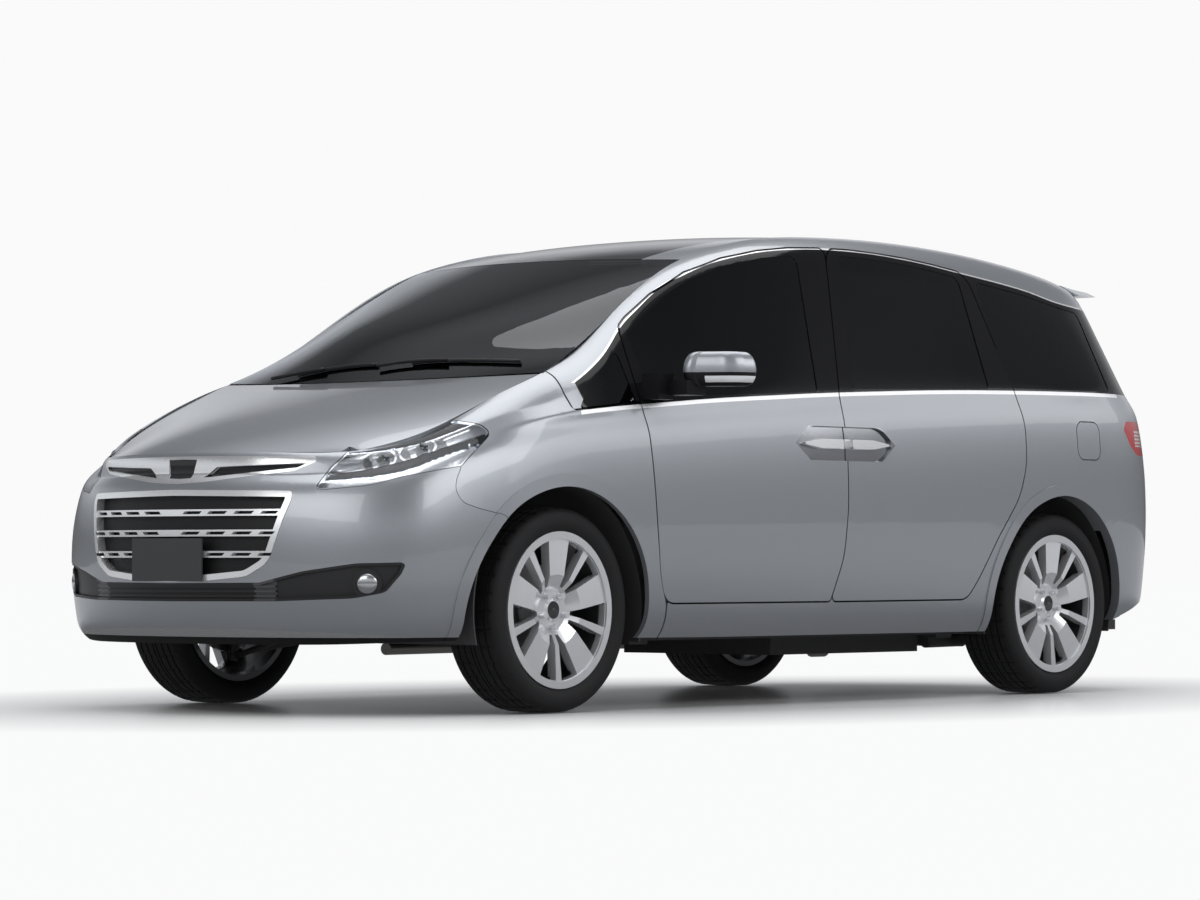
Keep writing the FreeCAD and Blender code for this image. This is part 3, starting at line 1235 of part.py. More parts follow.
# Floor, rear wheelhouses and back panel
LINER = size("liner_thickness")
liner_near = size("liner_inner_face")


def wheelhouse(axle_x, outer_face):
    """Half shell over a wheel, closed inside above the axle."""
    radius = size("liner_radius")
    centre = Vector(axle_x, liner_near, AXLE_Z)
    run = Vector(0, outer_face - liner_near, 0)
    shell = rod(centre, centre + run, radius).cut(rod(centre + Vector(0, LINER, 0), centre + run * 2,
        radius - LINER))
    low = Vector(axle_x - radius, 0, -OVERRUN)
    shell = shell.cut(block(low, Vector(axle_x + radius, HALF_WIDTH + OVERRUN, size("floor_height"))))
    gap_low = Vector(axle_x - radius + LINER, 0, 0)
    gap_high = Vector(axle_x + radius - LINER, liner_near + LINER, LINER_OPENING_SHARE * HEIGHT)
    return shell.cut(block(gap_low, gap_high).common(rod(centre - run, centre + run, radius - LINER)))


floor = share_block(*FLOOR_SHARES).fuse([share_block(*corners) for corners in REAR_FLOOR_SHARES])
floor = beside(floor, [wheel_cylinder(REAR_AXLE_X, size("liner_radius") - LINER / 2,
    liner_near + LINER / 2),
                       wheel_cylinder(FRONT_AXLE_X, liner_outer, liner_near - FIT)])
rear_liner = wheelhouse(REAR_AXLE_X, size("rear_liner_face"))
back_panel = slab_in(18, 26, (size("bumper_thickness") + FIT, WALL - SEAM), [block(
    place(*BACK_PANEL_SHARES[0]), place(*BACK_PANEL_SHARES[1]) - UP * FIT)])
jack_pads = [share_block(*corners) for corners in JACK_PAD_SHARES]
floor = floor.fuse(jack_pads + [mirrored(pad) for pad in jack_pads] + [rear_liner, mirrored(rear_liner),
    back_panel])
piece("floor_pan", floor)

# Front structure: firewall, rails, cross members, wheelhouses, hood stops and strut towers
front_liner = wheelhouse(FRONT_AXLE_X, size("front_liner_face"))
firewall = beside(share_block(*FIREWALL_SHARES), [wheel_cylinder(
    FRONT_AXLE_X, size("liner_radius") - LINER / 2, liner_near + LINER / 2)])
stops = [share_block(*corners) for corners in HOOD_STOP_SHARES]
stops = [stop.cut(above_hood) for stop in stops + [mirrored(stop) for stop in stops]]
rails = [share_block(*corners) for corners in RAIL_SHARES]
structure = firewall.fuse([share_block(*corners) for corners in CROSS_MEMBER_SHARES])
structure = structure.fuse(rails + [mirrored(rail) for rail in rails] + stops + [front_liner,
    mirrored(front_liner)])
kingpin_foot = place(*KINGPIN_SHARES[0])
kingpin_head = place(*KINGPIN_SHARES[1])
kingpin = kingpin_head - kingpin_foot
kingpin_unit = Vector(kingpin).normalize()


def on_kingpin(height_share):
    """Point of the left steering axis at a height."""
    return kingpin_foot + kingpin * ((height_share * HEIGHT - kingpin_foot.z) / kingpin.z)


tower = rod(on_kingpin(STRUT_TOP_SHARE) + kingpin_unit * FIT, on_kingpin(TOWER_TOP_SHARE),
    size("spring_radius"))
structure = structure.fuse([tower, mirrored(tower)])
lamp_room = wall(1, 8, -SEAM, size("lamp_depth") + FIT).common(prism(HEADLAMP_SHARES, CORNER_VIEW, FIT))
piece("front_structure", tidy(beside(structure, [lamp_room])))

# Cowl under the foot of the windscreen
piece("cowl", top_panel(COWL_RIB_SHARES, size("cowl_thickness"), size("cowl_clearance"), 0.0,
    -UP * size("cowl_drop")))


def cushion(one, other):
    """Rounded block between two opposite corners given as shares."""
    shape = share_block(one, other)
    return shape.makeFillet(size("cushion_radius"), shape.Edges)


def leaned(shape, pivot, angle):
    """The shape turned back about a line across the car."""
    turned = shape.copy()
    turned.rotate(pivot, Vector(0, 1, 0), angle)
    return turned


def seat_row(table, lean):
    """Seats of one row: level blocks first, then the backrest blocks, which lean back."""
    pivot = place(*table[1][0][0])
    level = [cushion(*corners) for corners in table[0]]
    backs = [leaned(cushion(*corners), pivot, -lean) for corners in table[1]]
    return joined(level + backs)


piece("front_seats", pair(seat_row(FRONT_SEAT_SHARES, size("front_lean"))))
piece("second_row_seats", pair(seat_row(SECOND_SEAT_SHARES, size("rear_lean"))))
piece("third_row_seats", seat_row(THIRD_SEAT_SHARES, size("rear_lean")))


def across_prism(points, half_width_share):
    """Side view outline swept across the car."""
    corners = [place(station, -half_width_share, height) for station, height in points]
    face = Part.Face(Part.makePolygon(corners + corners[:1]))
    return face.extrude(Vector(0, 2 * half_width_share * HALF_WIDTH, 0))


wheel_centre = place(*STEERING_WHEEL_SHARE)
column_turn = math.radians(size("column_angle"))
column_axis = Vector(-math.cos(column_turn), 0, math.sin(column_turn))
dashboard = across_prism(DASHBOARD_SHARES, DASHBOARD_HALF_SHARE)
column_end = wheel_centre - column_axis * (size("wheel_hub_depth") + FIT)
column = rod(column_end, column_end - column_axis * size("column_length"), size("column_radius"))
console = [cushion(*corners) for corners in CONSOLE_SHARES]
binnacle = cushion(*BINNACLE_SHARES)
piece("dashboard", dashboard.fuse([column, binnacle] + console))


def column_piece():
    """Steering wheel built flat, then leaned onto its column."""
    rim = Part.makeTorus(size("wheel_rim_radius"), size("wheel_grip_radius"))
    hub = Part.makeCylinder(size("wheel_hub_radius"), size("wheel_hub_depth"),
        Vector(0, 0, -size("wheel_hub_depth")))
    spokes = []
    for turn in SPOKE_TURNS_SHARES:
        half = size("wheel_spoke_width") / 2
        depth = size("wheel_grip_radius")
        spoke = Part.makeBox(size("wheel_rim_radius"), 2 * half, depth, Vector(0, -half, -depth))
        spoke.rotate(Vector(0, 0, 0), UP, turn * 360)
        spokes.append(spoke)
    flat = rim.fuse([hub] + spokes)
    flat.Placement = Placement(wheel_centre, Rotation(UP, column_axis))
    return flat


piece("steering_wheel", column_piece())

# Running gear. Wheels are built about the origin, outer face towards +Y, then moved to the left side.
FRONT_HUB = Vector(FRONT_AXLE_X, WHEEL_Y, AXLE_Z)
REAR_HUB = Vector(REAR_AXLE_X, WHEEL_Y, AXLE_Z)
CORNERS = (("front_left", FRONT_HUB, 1), ("front_right", FRONT_HUB, -1),
           ("rear_left", REAR_HUB, 1), ("rear_right", REAR_HUB, -1))


def revolved(points):
    """Ring turned about the wheel axis, from shares of the tyre radius: radius, distance along the axle."""
    unit = size("tyre_radius")
    corners = [Vector(radius * unit, axial * unit, 0) for radius, axial in points]
    face = Part.Face(Part.makePolygon(corners + corners[:1]))
    return face.revolve(Vector(0, 0, 0), Vector(0, 1, 0), 360)


def spoke_bar(turn, half_widths):
    """Tapered radial bar across the wheel's face."""
    near = SPOKE_REACH_SHARES[0] * size("tyre_radius")
    far = SPOKE_REACH_SHARES[1] * size("tyre_radius")
    inner, outer = [share * size("tyre_radius") for share in half_widths]
    depth = size("tyre_width")
    corners = [Vector(near, -depth, -inner), Vector(far, -depth, -outer), Vector(far, -depth, outer),
               Vector(near, -depth, inner)]
    bar = Part.Face(Part.makePolygon(corners + corners[:1])).extrude(Vector(0, 2 * depth, 0))
    bar.rotate(Vector(0, 0, 0), Vector(0, 1, 0), turn + SPOKE_START_ANGLE_SHARE * 360)
    return bar


def wheel_rim():
    """Rim, spokes, hub, wheel nuts and brake disc as one piece."""
    count = int(size("spoke_count"))
    step = 360 / count
    bars = [spoke_bar(step * i, WIDE_SPOKE_SHARES) for i in range(count)]
    bars += [spoke_bar(step * (i + 0.5), THIN_SPOKE_SHARES) for i in range(count)]
    pockets = revolved(POCKET_SHARES).cut(bars[0].fuse(bars[1:]))
    face = revolved(FACE_SHARES).cut(pockets)
    parts = [revolved(shares) for shares in (BARREL_SHARES, HUB_SHARES, DISC_SHARES)]
    nuts = []
    for i in range(count):
        nut = Part.makeCylinder(size("nut_radius"), size("nut_height"),
            Vector(size("nut_circle_radius"), 0, 0),
                                Vector(0, 1, 0))
        nut.translate(Vector(0, NUT_FACE_SHARE * size("tyre_radius"), 0))
        nut.rotate(Vector(0, 0, 0), Vector(0, 1, 0), step * (i + 0.5) + SPOKE_START_ANGLE_SHARE * 360)
        nuts.append(nut)
    return face.fuse(parts + nuts)


def tyre(label, hub, side):
    """Tyre as a turned section in its own body, placed on its hub."""
    body = doc.addObject("PartDesign::Body", label)
    body.Label = label
    profile = body.newObject("Sketcher::SketchObject", label + "_section")
    unit = size("tyre_radius")
    corners = [Vector(radius * unit, axial * unit, 0) for radius, axial in TYRE_SHARES]
    for i, corner in enumerate(corners):
        profile.addGeometry(Part.LineSegment(corners[i - 1], corner), False)
    turned = body.newObject("PartDesign::Revolution", label + "_turned")
    turned.Profile = profile
    turned.ReferenceAxis = (profile, ["V_Axis"])
    turned.Angle = 360
    body.setExpression(".Placement.Base.x", "sizes.overall_length / 2 - sizes.front_overhang" + (
        "" if hub.x > 0 else " - sizes.wheelbase"))
    body.setExpression(".Placement.Base.y", ("" if side > 0 else "-") + "sizes.track / 2")
    body.setExpression(".Placement.Base.z", "sizes.tyre_radius")
    PIECES.append(body)


rim = wheel_rim()
for corner_name, hub, side in CORNERS:
    placed = rim.copy()
    placed.translate(hub)
    piece("rim_" + corner_name, placed if side > 0 else mirrored(placed))
    tyre("tyre_" + corner_name, hub, side)


def carrier(hub):
    """Hub carrier with its spindle and the brake calliper over the disc."""
    face = CARRIER_SHARES[1] * HALF_WIDTH
    drum = rod(Vector(hub.x, CARRIER_SHARES[0] * HALF_WIDTH, hub.z), Vector(hub.x, face, hub.z),
        size("carrier_radius"))
    stub = rod(Vector(hub.x, CARRIER_SHARES[0] * HALF_WIDTH, hub.z),
               Vector(hub.x, CARRIER_SHARES[2] * HALF_WIDTH, hub.z), size("bore_radius") - FIT)
    middle = Vector(hub.x, 0, hub.z)
    low, high = [place(*corner) for corner in CALLIPER_SHARES]
    shift = Vector(hub.x - FRONT_AXLE_X, 0, 0)
    calliper = block(low + shift, high + shift)
    bracket = block(*[place(*corner) + shift for corner in BRACKET_SHARES])
    slot = rod(middle + Vector(0, CALLIPER_SLOT_SHARES[0] * HALF_WIDTH, 0),
               middle + Vector(0, CALLIPER_SLOT_SHARES[1] * HALF_WIDTH,
                   0), size("disc_radius") + size("disc_gap"))
    return drum.fuse([stub, bracket, calliper.cut(slot)])


strut_top = on_kingpin(STRUT_TOP_SHARE)
knuckle = carrier(FRONT_HUB).fuse([
    rod(on_kingpin(STRUT_FOOT_SHARE), strut_top, size("strut_radius")),
    rod(on_kingpin(SPRING_FOOT_SHARE), strut_top, size("spring_radius")),
    rod(FRONT_HUB + Vector(0, CARRIER_SHARES[0] * HALF_WIDTH - WHEEL_Y, 0), on_kingpin(STRUT_FOOT_SHARE),
        size("strut_radius")),
    rod(FRONT_HUB + Vector(0, CARRIER_SHARES[0] * HALF_WIDTH - WHEEL_Y, 0), kingpin_foot,
        size("arm_radius")),
    rod(kingpin_foot - kingpin_unit * size("ball_radius"),
        kingpin_foot + kingpin_unit * size("ball_radius"), size("ball_radius"))])
piece("knuckle_left", knuckle)
piece("knuckle_right", mirrored(knuckle))

# Front subframe with the lower arms and the steering rack
arm_eye = kingpin_foot - kingpin_unit * (size("ball_radius") + FIT)
arm_run = kingpin_unit * size("arm_thickness")
subframe = [share_block(*corners) for corners in SUBFRAME_SHARES]
arm_inner, arm_rear, arm_knee = [place(*point) for point in LOWER_ARM_SHARES]
arm_end = arm_eye - arm_run * 0.5
lower_arm = rod(arm_inner, arm_end, size("arm_thickness") / 2).fuse(rod(arm_rear, arm_knee,
    size("arm_thickness") / 2))
eye = rod(arm_eye - arm_run, arm_eye, size("ball_radius") * 1.3)
side_parts = subframe + [lower_arm, eye]
rack = rod(place(*RACK_SHARES[0]), place(*RACK_SHARES[1]), size("arm_radius"))
front_subframe = side_parts[0].fuse(side_parts[1:] + [mirrored(part) for part in side_parts] + [
    rack] + [share_block(*corners) for corners in SUBFRAME_CROSS_SHARES])
ball_room = rod(arm_eye, kingpin_foot + kingpin_unit * size("ball_radius") * 3, size("ball_radius") + FIT)
piece("front_subframe", front_subframe.cut([ball_room, mirrored(ball_room)]))

# Rear axle: torsion beam, trailing arms, springs and the hub carriers
rear_pivot, rear_elbow, beam_end = [place(*point) for point in REAR_ARM_SHARES]
carrier_end = Vector(REAR_AXLE_X, CARRIER_SHARES[0] * HALF_WIDTH, AXLE_Z)
beam = rod(beam_end, Vector(beam_end.x, -beam_end.y, beam_end.z), size("beam_radius"))
arm_side = [rod(rear_pivot, beam_end, size("strut_radius")),
    rod(beam_end, rear_elbow, size("strut_radius")),
            rod(rear_elbow, carrier_end + Vector(0, size("carrier_radius") / 2, 0), size("strut_radius")),
            share_block(*PIVOT_BRACKET_SHARES), carrier(REAR_HUB)]
spring = rod(place(*REAR_SPRING_SHARES[0]), place(*REAR_SPRING_SHARES[1]), size("spring_radius")).common(
    rod(Vector(REAR_AXLE_X, 0, AXLE_Z), REAR_HUB, size("liner_radius") - LINER - FIT))
arm_side.append(spring)
rear_axle = beam.fuse(arm_side + [mirrored(part) for part in arm_side])
piece("rear_axle", rear_axle)

# Exhaust
pipe = [place(*point) for point in EXHAUST_SHARES]
exhaust = [rod(start, end, size("pipe_radius")) for start, end in zip(pipe, pipe[1:])]
exhaust += [Part.makeSphere(size("pipe_radius"), point) for point in pipe[1:-1]]
exhaust.append(cushion(*MUFFLER_SHARES))
piece("exhaust", exhaust[0].fuse(exhaust[1:]))


def sheet_box(label, aliases, place_aliases):
    """Plain box whose sides and corner are bound to the sheet."""
    box = doc.addObject("Part::Box", label)
    box.Label = label
    for side, alias in zip(("Length", "Width", "Height"), aliases):
        box.setExpression(side, "sizes.%s" % alias)
    for axis, formula in zip("xyz", place_aliases):
        box.setExpression(".Placement.Base.%s" % axis, formula)
    PIECES.append(box)
    return box


sheet_box("engine", ("engine_length", "engine_width", "engine_height"),
          ("sizes.engine_rear", "-sizes.engine_right", "sizes.engine_bottom"))
sheet_box("fuel_tank", ("tank_length", "tank_width", "tank_height"),
          ("-sizes.tank_rear", "-sizes.tank_right",
              "sizes.floor_height - sizes.tank_height - sizes.fit_gap"))
sheet_box("front_plate", ("plate_thickness", "plate_width", "plate_height"),
          ("sizes.overall_length / 2 - sizes.plate_thickness - sizes.fit_gap", "-sizes.plate_width / 2",
           "sizes.front_plate_bottom"))
sheet_box("rear_plate", ("rear_plate_thickness", "plate_width", "plate_height"),
          ("-sizes.rear_skin_x - sizes.rear_plate_thickness - sizes.fit_gap", "-sizes.plate_width / 2",
           "sizes.rear_plate_bottom"))

# Where two pieces meet along a curve, the first gives way to its neighbours
made = {feature.Label: feature for feature in PIECES}
SEATED = [
    ("front_structure", ["windscreen", "front_bumper", "hood"]),
    ("dashboard", ["front_structure"]),
    ("cowl", ["front_structure"]),
    ("fenders", ["front_structure", "windscreen"]),
    ("body_sides", ["roof_panel", "windscreen", "side_frames"]),
    ("fixed_side_glass", ["sliding_doors"]),
    ("floor_pan", ["side_frames", "rear_bumper"]),
    ("lower_grille", ["front_bumper"]),
]
for label, neighbours in SEATED:
    shape = made[label].Shape
    for neighbour in neighbours:
        shape = shape.cut(made[neighbour].Shape)
    if label == "front_structure":
        shape = shape.cut(made["hood"].Shape.translated(-UP * FIT))
    made[label].Shape = shape

# The nose of the hood swings forward as it first lifts, so its pointed corners are left off
corner = share_block(*HOOD_CORNER_SHARES)
made["hood"].Shape = tidy(made["hood"].Shape.cut([corner, mirrored(corner)]))

doc.recompute()
for feature in doc.Objects:
    if "Invalid" in feature.State or "Error" in feature.State:
        raise RuntimeError("%s did not rebuild" % feature.Label)
os.makedirs("parts", exist_ok=True)
for feature in PIECES:
    shape = feature.Shape
    if shape.isNull() or not shape.isValid() or not shape.Solids:
        raise RuntimeError("%s has no valid shape" % feature.Label)
    shape.exportStep("parts/%s.step" % feature.Label)
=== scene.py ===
# Minivan on a pale studio floor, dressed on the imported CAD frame.
# Units are metres. +X forward, +Y left, +Z up, origin on the ground under the middle of the body.
import json
import math
import bpy
import bmesh
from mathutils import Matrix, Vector


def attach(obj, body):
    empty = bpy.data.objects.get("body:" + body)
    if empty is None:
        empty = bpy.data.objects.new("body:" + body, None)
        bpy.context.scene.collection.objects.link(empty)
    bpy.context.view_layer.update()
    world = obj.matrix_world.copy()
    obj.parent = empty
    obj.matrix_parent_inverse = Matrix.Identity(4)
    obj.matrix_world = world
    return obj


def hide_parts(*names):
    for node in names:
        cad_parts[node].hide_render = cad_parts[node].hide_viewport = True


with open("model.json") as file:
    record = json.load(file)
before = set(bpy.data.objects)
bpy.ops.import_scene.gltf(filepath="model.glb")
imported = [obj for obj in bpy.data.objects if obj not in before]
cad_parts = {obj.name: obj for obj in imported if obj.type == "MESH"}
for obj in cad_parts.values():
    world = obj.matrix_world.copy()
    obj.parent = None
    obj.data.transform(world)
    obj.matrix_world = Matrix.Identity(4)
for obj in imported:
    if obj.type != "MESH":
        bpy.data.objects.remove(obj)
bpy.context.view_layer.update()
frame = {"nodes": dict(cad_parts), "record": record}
nodes = frame["nodes"]

UP = Vector((0, 0, 1))
FRONT_AXLE = (1.43, 0.7675, 0.348)
REAR_AXLE = (-1.48, 0.7675, 0.348)
TYRE_RADIUS = 0.348
AXLE_MIDDLE = (FRONT_AXLE[0] + REAR_AXLE[0]) / 2
HALF_WHEELBASE = (FRONT_AXLE[0] - REAR_AXLE[0]) / 2

# Waist line and top of the side glass: (x, z)
WAIST = [(-2.28, 1.150), (-2.04, 1.166), (-1.80, 1.168), (-1.48, 1.165), (-1.10, 1.158),
         (-0.70, 1.147), (-0.35, 1.133), (0.0, 1.117), (0.30, 1.100), (0.60, 1.082),
         (0.90, 1.059), (1.18, 1.036), (1.43, 1.008)]
GLASS_TOP = [(-2.20, 1.501), (-1.80, 1.517), (-1.48, 1.565), (-1.10, 1.605), (-0.70, 1.642),
             (-0.35, 1.6545), (0.0, 1.642), (0.30, 1.602), (0.60, 1.520), (0.90, 1.367),
             (1.18, 1.177), (1.43, 1.057)]

CHROME = (0.80, 0.81, 0.82)
BLACK = (0.005, 0.005, 0.006)

# The body's paint, and the finishes of parts of a node, laid over its base: colour, roughness, metallic
BODY_PAINT = ((0.335, 0.352, 0.378), 0.32, 0.75)
WINDOW_BLACK = (BLACK, 0.06, 0.0)
BRIGHT_STRIP = ((0.92, 0.92, 0.93), 0.34, 0.8)
HANDLE_DISH = ((0.40, 0.41, 0.43), 0.14, 1.0)
HANDLE_BAR = (CHROME, 0.20, 0.8)
CHIN_STRIP = ((0.55, 0.56, 0.57), 0.25, 0.9)
UNDER_EDGE = (BLACK, 0.5, 0.0)
ROOF_GLASS = ((0.010, 0.011, 0.013), 0.05, 0.0)
MIRROR_BLACK = (BLACK, 0.35, 0.0)
TURN_LAMP = ((0.75, 0.76, 0.78), 0.08, 0.6)
MIRROR_GLASS = ((0.82, 0.84, 0.86), 0.01, 1.0)
CLEAR_LENS = ((0.62, 0.60, 0.60), 0.10, 0.2)
LENS_BARS = ((0.42, 0.10, 0.10), 0.12, 0.1)
RIM_BARREL = ((0.10, 0.10, 0.105), 0.35, 0.8)
BRAKE_DISC = ((0.20, 0.195, 0.19), 0.35, 0.9)
CENTRE_CAP = ((0.03, 0.03, 0.032), 0.25, 0.3)
PIPE_TIP = ((0.72, 0.72, 0.72), 0.15, 1.0)
GRILLE_SLOT = ((0.012, 0.012, 0.013), 0.25, 0.2)
MIDDLE_DARK = ((0.030, 0.030, 0.032), 0.20, 0.5)
GRILLE_POST = ((0.10, 0.10, 0.105), 0.30, 0.6)


def new_material(name):
    mat = bpy.data.materials.new(name)
    mat.use_nodes = True
    return mat


def ramp(name, colour, rough, metal=0.0, **more):
    """Plain material with a little unevenness in its roughness."""
    mat = new_material(name)
    tree = mat.node_tree
    bsdf = tree.nodes["Principled BSDF"]
    bsdf.inputs["Base Color"].default_value = (*colour, 1)
    bsdf.inputs["Metallic"].default_value = metal
    coords = tree.nodes.new("ShaderNodeTexCoord")
    noise = tree.nodes.new("ShaderNodeTexNoise")
    noise.inputs["Scale"].default_value = more["grain"]
    noise.inputs["Detail"].default_value = 4.0
    tree.links.new(coords.outputs["Object"], noise.inputs["Vector"])
    vary = more.get("vary", 0.04)
    spread = tree.nodes.new("ShaderNodeMapRange")
    spread.inputs["To Min"].default_value = max(rough - vary, 0.0)
    spread.inputs["To Max"].default_value = rough + vary
    tree.links.new(noise.outputs["Fac"], spread.inputs["Value"])
    tree.links.new(spread.outputs["Result"], bsdf.inputs["Roughness"])
    if "bump" in more:
        bump = tree.nodes.new("ShaderNodeBump")
        bump.inputs["Strength"].default_value = more["bump"]
        bump.inputs["Distance"].default_value = 0.0005
        tree.links.new(noise.outputs["Fac"], bump.inputs["Height"])
        tree.links.new(bump.outputs["Normal"], bsdf.inputs["Normal"])
    if "coat" in more:
        bsdf.inputs["Coat Weight"].default_value = more["coat"]
        bsdf.inputs["Coat Roughness"].default_value = 0.03
    if "specular" in more:
        bsdf.inputs["Specular IOR Level"].default_value = more["specular"]
    return mat


class Graph:
    """Small helper that builds shader maths on one material."""

    def __init__(self, mat):
        self.tree = mat.node_tree
        self.bsdf = self.tree.nodes["Principled BSDF"]

    def feed(self, socket, value):
        if isinstance(value, (int, float)):
            socket.default_value = value
        else:
            self.tree.links.new(value, socket)

    def maths(self, operation, a, b=0.0, clamp=False):
        node = self.tree.nodes.new("ShaderNodeMath")
        node.operation = operation
        node.use_clamp = clamp
        self.feed(node.inputs[0], a)
        self.feed(node.inputs[1], b)
        return node.outputs[0]

    def place(self, offset):
        """X, Y and Z in the shared frame at rest, from the object's own coordinates."""
        coords = self.tree.nodes.new("ShaderNodeTexCoord")
        move = self.tree.nodes.new("ShaderNodeVectorMath")
        move.operation = "ADD"
        move.inputs[1].default_value = offset
        self.tree.links.new(coords.outputs["Object"], move.inputs[0])
        split = self.tree.nodes.new("ShaderNodeSeparateXYZ")
        self.tree.links.new(move.outputs[0], split.inputs[0])
        return split.outputs

    def curve(self, x, points):
        """Height read from a list of (x, z) points, as one float curve."""
        low, high = points[0][0], points[-1][0]
        bottom = min(p[1] for p in points)
        top = max(p[1] for p in points)
        scaled = self.tree.nodes.new("ShaderNodeMapRange")
        scaled.inputs["From Min"].default_value = low
        scaled.inputs["From Max"].default_value = high
        self.feed(scaled.inputs["Value"], x)
        node = self.tree.nodes.new("ShaderNodeFloatCurve")
        line = node.mapping.curves[0]
        shares = [((p[0] - low) / (high - low), (p[1] - bottom) / (top - bottom)) for p in points]
        line.points[0].location = shares[0]
        line.points[1].location = shares[-1]
        for share in shares[1:-1]:
            line.points.new(*share)
        node.mapping.update()
        self.feed(node.inputs["Value"], scaled.outputs["Result"])
        return self.maths("ADD", self.maths("MULTIPLY", node.outputs[0], top - bottom), bottom)

    def above(self, value, edge, soft=0.0008):
        """0 below the edge and 1 above it, with a blend as wide as soft."""
        gap = self.maths("SUBTRACT", value, edge)
        return self.maths("ADD", self.maths("DIVIDE", gap, soft), 0.5, clamp=True)

    def below(self, value, edge, soft=0.0008):
        """1 below the edge and 0 above it."""
        return self.maths("SUBTRACT", 1.0, self.above(value, edge, soft))

    def within(self, value, low, high):
        return self.both(self.above(value, low), self.below(value, high))

    def both(self, a, b):
        return self.maths("MULTIPLY", a, b)

    def either(self, a, b):
        return self.maths("MAXIMUM", a, b)

    def distance(self, a, b):
        """Length of the vector (a, b)."""
        squares = self.maths("ADD", self.maths("MULTIPLY", a, a), self.maths("MULTIPLY", b, b))
        return self.maths("SQRT", squares)

    def inside(self, u, v, corners):
        """1 inside a convex outline of (u, v) corners, listed anticlockwise."""
        mask = 1.0
        for (u0, v0), (u1, v1) in zip(corners, corners[1:] + corners[:1]):
            length = math.hypot(u1 - u0, v1 - v0)
            along_v = self.maths("MULTIPLY", self.maths("SUBTRACT", v, v0), (u1 - u0) / length)
            along_u = self.maths("MULTIPLY", self.maths("SUBTRACT", u, u0), (v1 - v0) / length)
            mask = self.both(mask, self.above(self.maths("SUBTRACT", along_v, along_u), 0.0))
        return mask

    def mix(self, mask, a, b):
        node = self.tree.nodes.new("ShaderNodeMix")
        node.data_type = "FLOAT"
        self.feed(node.inputs[0], mask)
        self.feed(node.inputs[2], a)
        self.feed(node.inputs[3], b)
        return node.outputs[0]

    def mix_colour(self, mask, a, b):
        node = self.tree.nodes.new("ShaderNodeMix")
        node.data_type = "RGBA"
        self.feed(node.inputs[0], mask)
        for socket, value in ((node.inputs[6], a), (node.inputs[7], b)):
            if isinstance(value, tuple):
                socket.default_value = (*value, 1)
            else:
                self.tree.links.new(value, socket)
        return node.outputs[2]

    def mix_shader(self, mask, a, b):
        node = self.tree.nodes.new("ShaderNodeMixShader")
        for socket, value in zip(node.inputs, (mask, a, b)):
            self.tree.links.new(value, socket)
        return node.outputs[0]

    def surface(self, shader):
        self.tree.links.new(shader, self.tree.nodes["Material Output"].inputs["Surface"])


def finish_by_mask(mat, layers, base, base_rough, base_metal):
    """Base finish with (mask, colour, roughness, metallic) layers over it."""
    g = Graph(mat)
    colour = g.mix_colour(0.0, base, base)
    rough = base_rough
    metal = base_metal
    coat = 1.0
    for mask, layer_colour, layer_rough, layer_metal in layers(g):
        colour = g.mix_colour(mask, colour, layer_colour)
        coat = g.mix(mask, coat, 0.0)
        rough = g.mix(mask, rough, layer_rough)
        metal = g.mix(mask, metal, layer_metal)
    g.feed(g.bsdf.inputs["Base Color"], colour)
    g.feed(g.bsdf.inputs["Roughness"], rough)
    g.feed(g.bsdf.inputs["Metallic"], metal)
    g.coat = coat
    return g


# Window surrounds, and the bright strips along the waist and over the glass. The strips are ranges of height
# over the waist line and over the top of the glass.
SIDE_FROM_Y = 0.60
SURROUND_X = (-2.045, 1.30)
STRIPS_X = (-1.93, 1.335)
WAIST_STRIP = (-0.010, 0.004)
TOP_STRIP = (0.006, 0.012)
TOP_STRIP_FROM_Z = 1.12


def window_layers(g, x, y, z):
    side = g.above(g.maths("ABSOLUTE", y), SIDE_FROM_Y)
    above_waist = g.maths("SUBTRACT", z, g.curve(x, WAIST))
    above_top = g.maths("SUBTRACT", z, g.curve(x, GLASS_TOP))
    surround = g.both(g.above(above_waist, WAIST_STRIP[1]), g.below(above_top, TOP_STRIP[0]))
    surround = g.both(g.both(surround, side), g.within(x, *SURROUND_X))
    top_strip = g.both(g.within(above_top, *TOP_STRIP), g.above(z, TOP_STRIP_FROM_Z))
    strips = g.either(g.within(above_waist, *WAIST_STRIP), top_strip)
    strips = g.both(g.both(strips, side), g.within(x, *STRIPS_X))
    return [(surround, *WINDOW_BLACK), (strips, *BRIGHT_STRIP)]


# Dish of the door handles and the bar across it, seen from the side: (x, z)
OUTER_SKIN_FROM_Y = 0.90
DISH_OUTLINE = ((0.215, 0.937), (0.130, 1.000), (-0.294, 1.000), (-0.379, 0.937), (-0.294, 0.876),
                (0.130, 0.876))
BAR_OUTLINE = ((0.190, 0.937), (0.070, 0.9545), (-0.234, 0.9545), (-0.356, 0.937),
               (-0.234, 0.9195), (0.070, 0.9195))


def handle_layers(g, x, y, z):
    outside = g.above(g.maths("ABSOLUTE", y), OUTER_SKIN_FROM_Y)
    dish = g.both(g.inside(x, z, DISH_OUTLINE), outside)
    bar = g.both(g.inside(x, z, BAR_OUTLINE), outside)
    return [(dish, *HANDLE_DISH), (bar, *HANDLE_BAR)]


# Bright strip along the foot of the front bumper, with a top edge that rises towards the nose, and the dark
# edge under it
CHIN_TOP = (2.0, 0.258)
CHIN_RISE = 0.080
UNDER_EDGE_TO_Z = 0.262


def bumper_layers(g, x, y, z):
    rise = g.maths("MULTIPLY", g.maths("SUBTRACT", x, CHIN_TOP[0]), CHIN_RISE)
    chin = g.below(z, g.maths("ADD", rise, CHIN_TOP[1]))
    return [(chin, *CHIN_STRIP), (g.below(z, UNDER_EDGE_TO_Z), *UNDER_EDGE)]


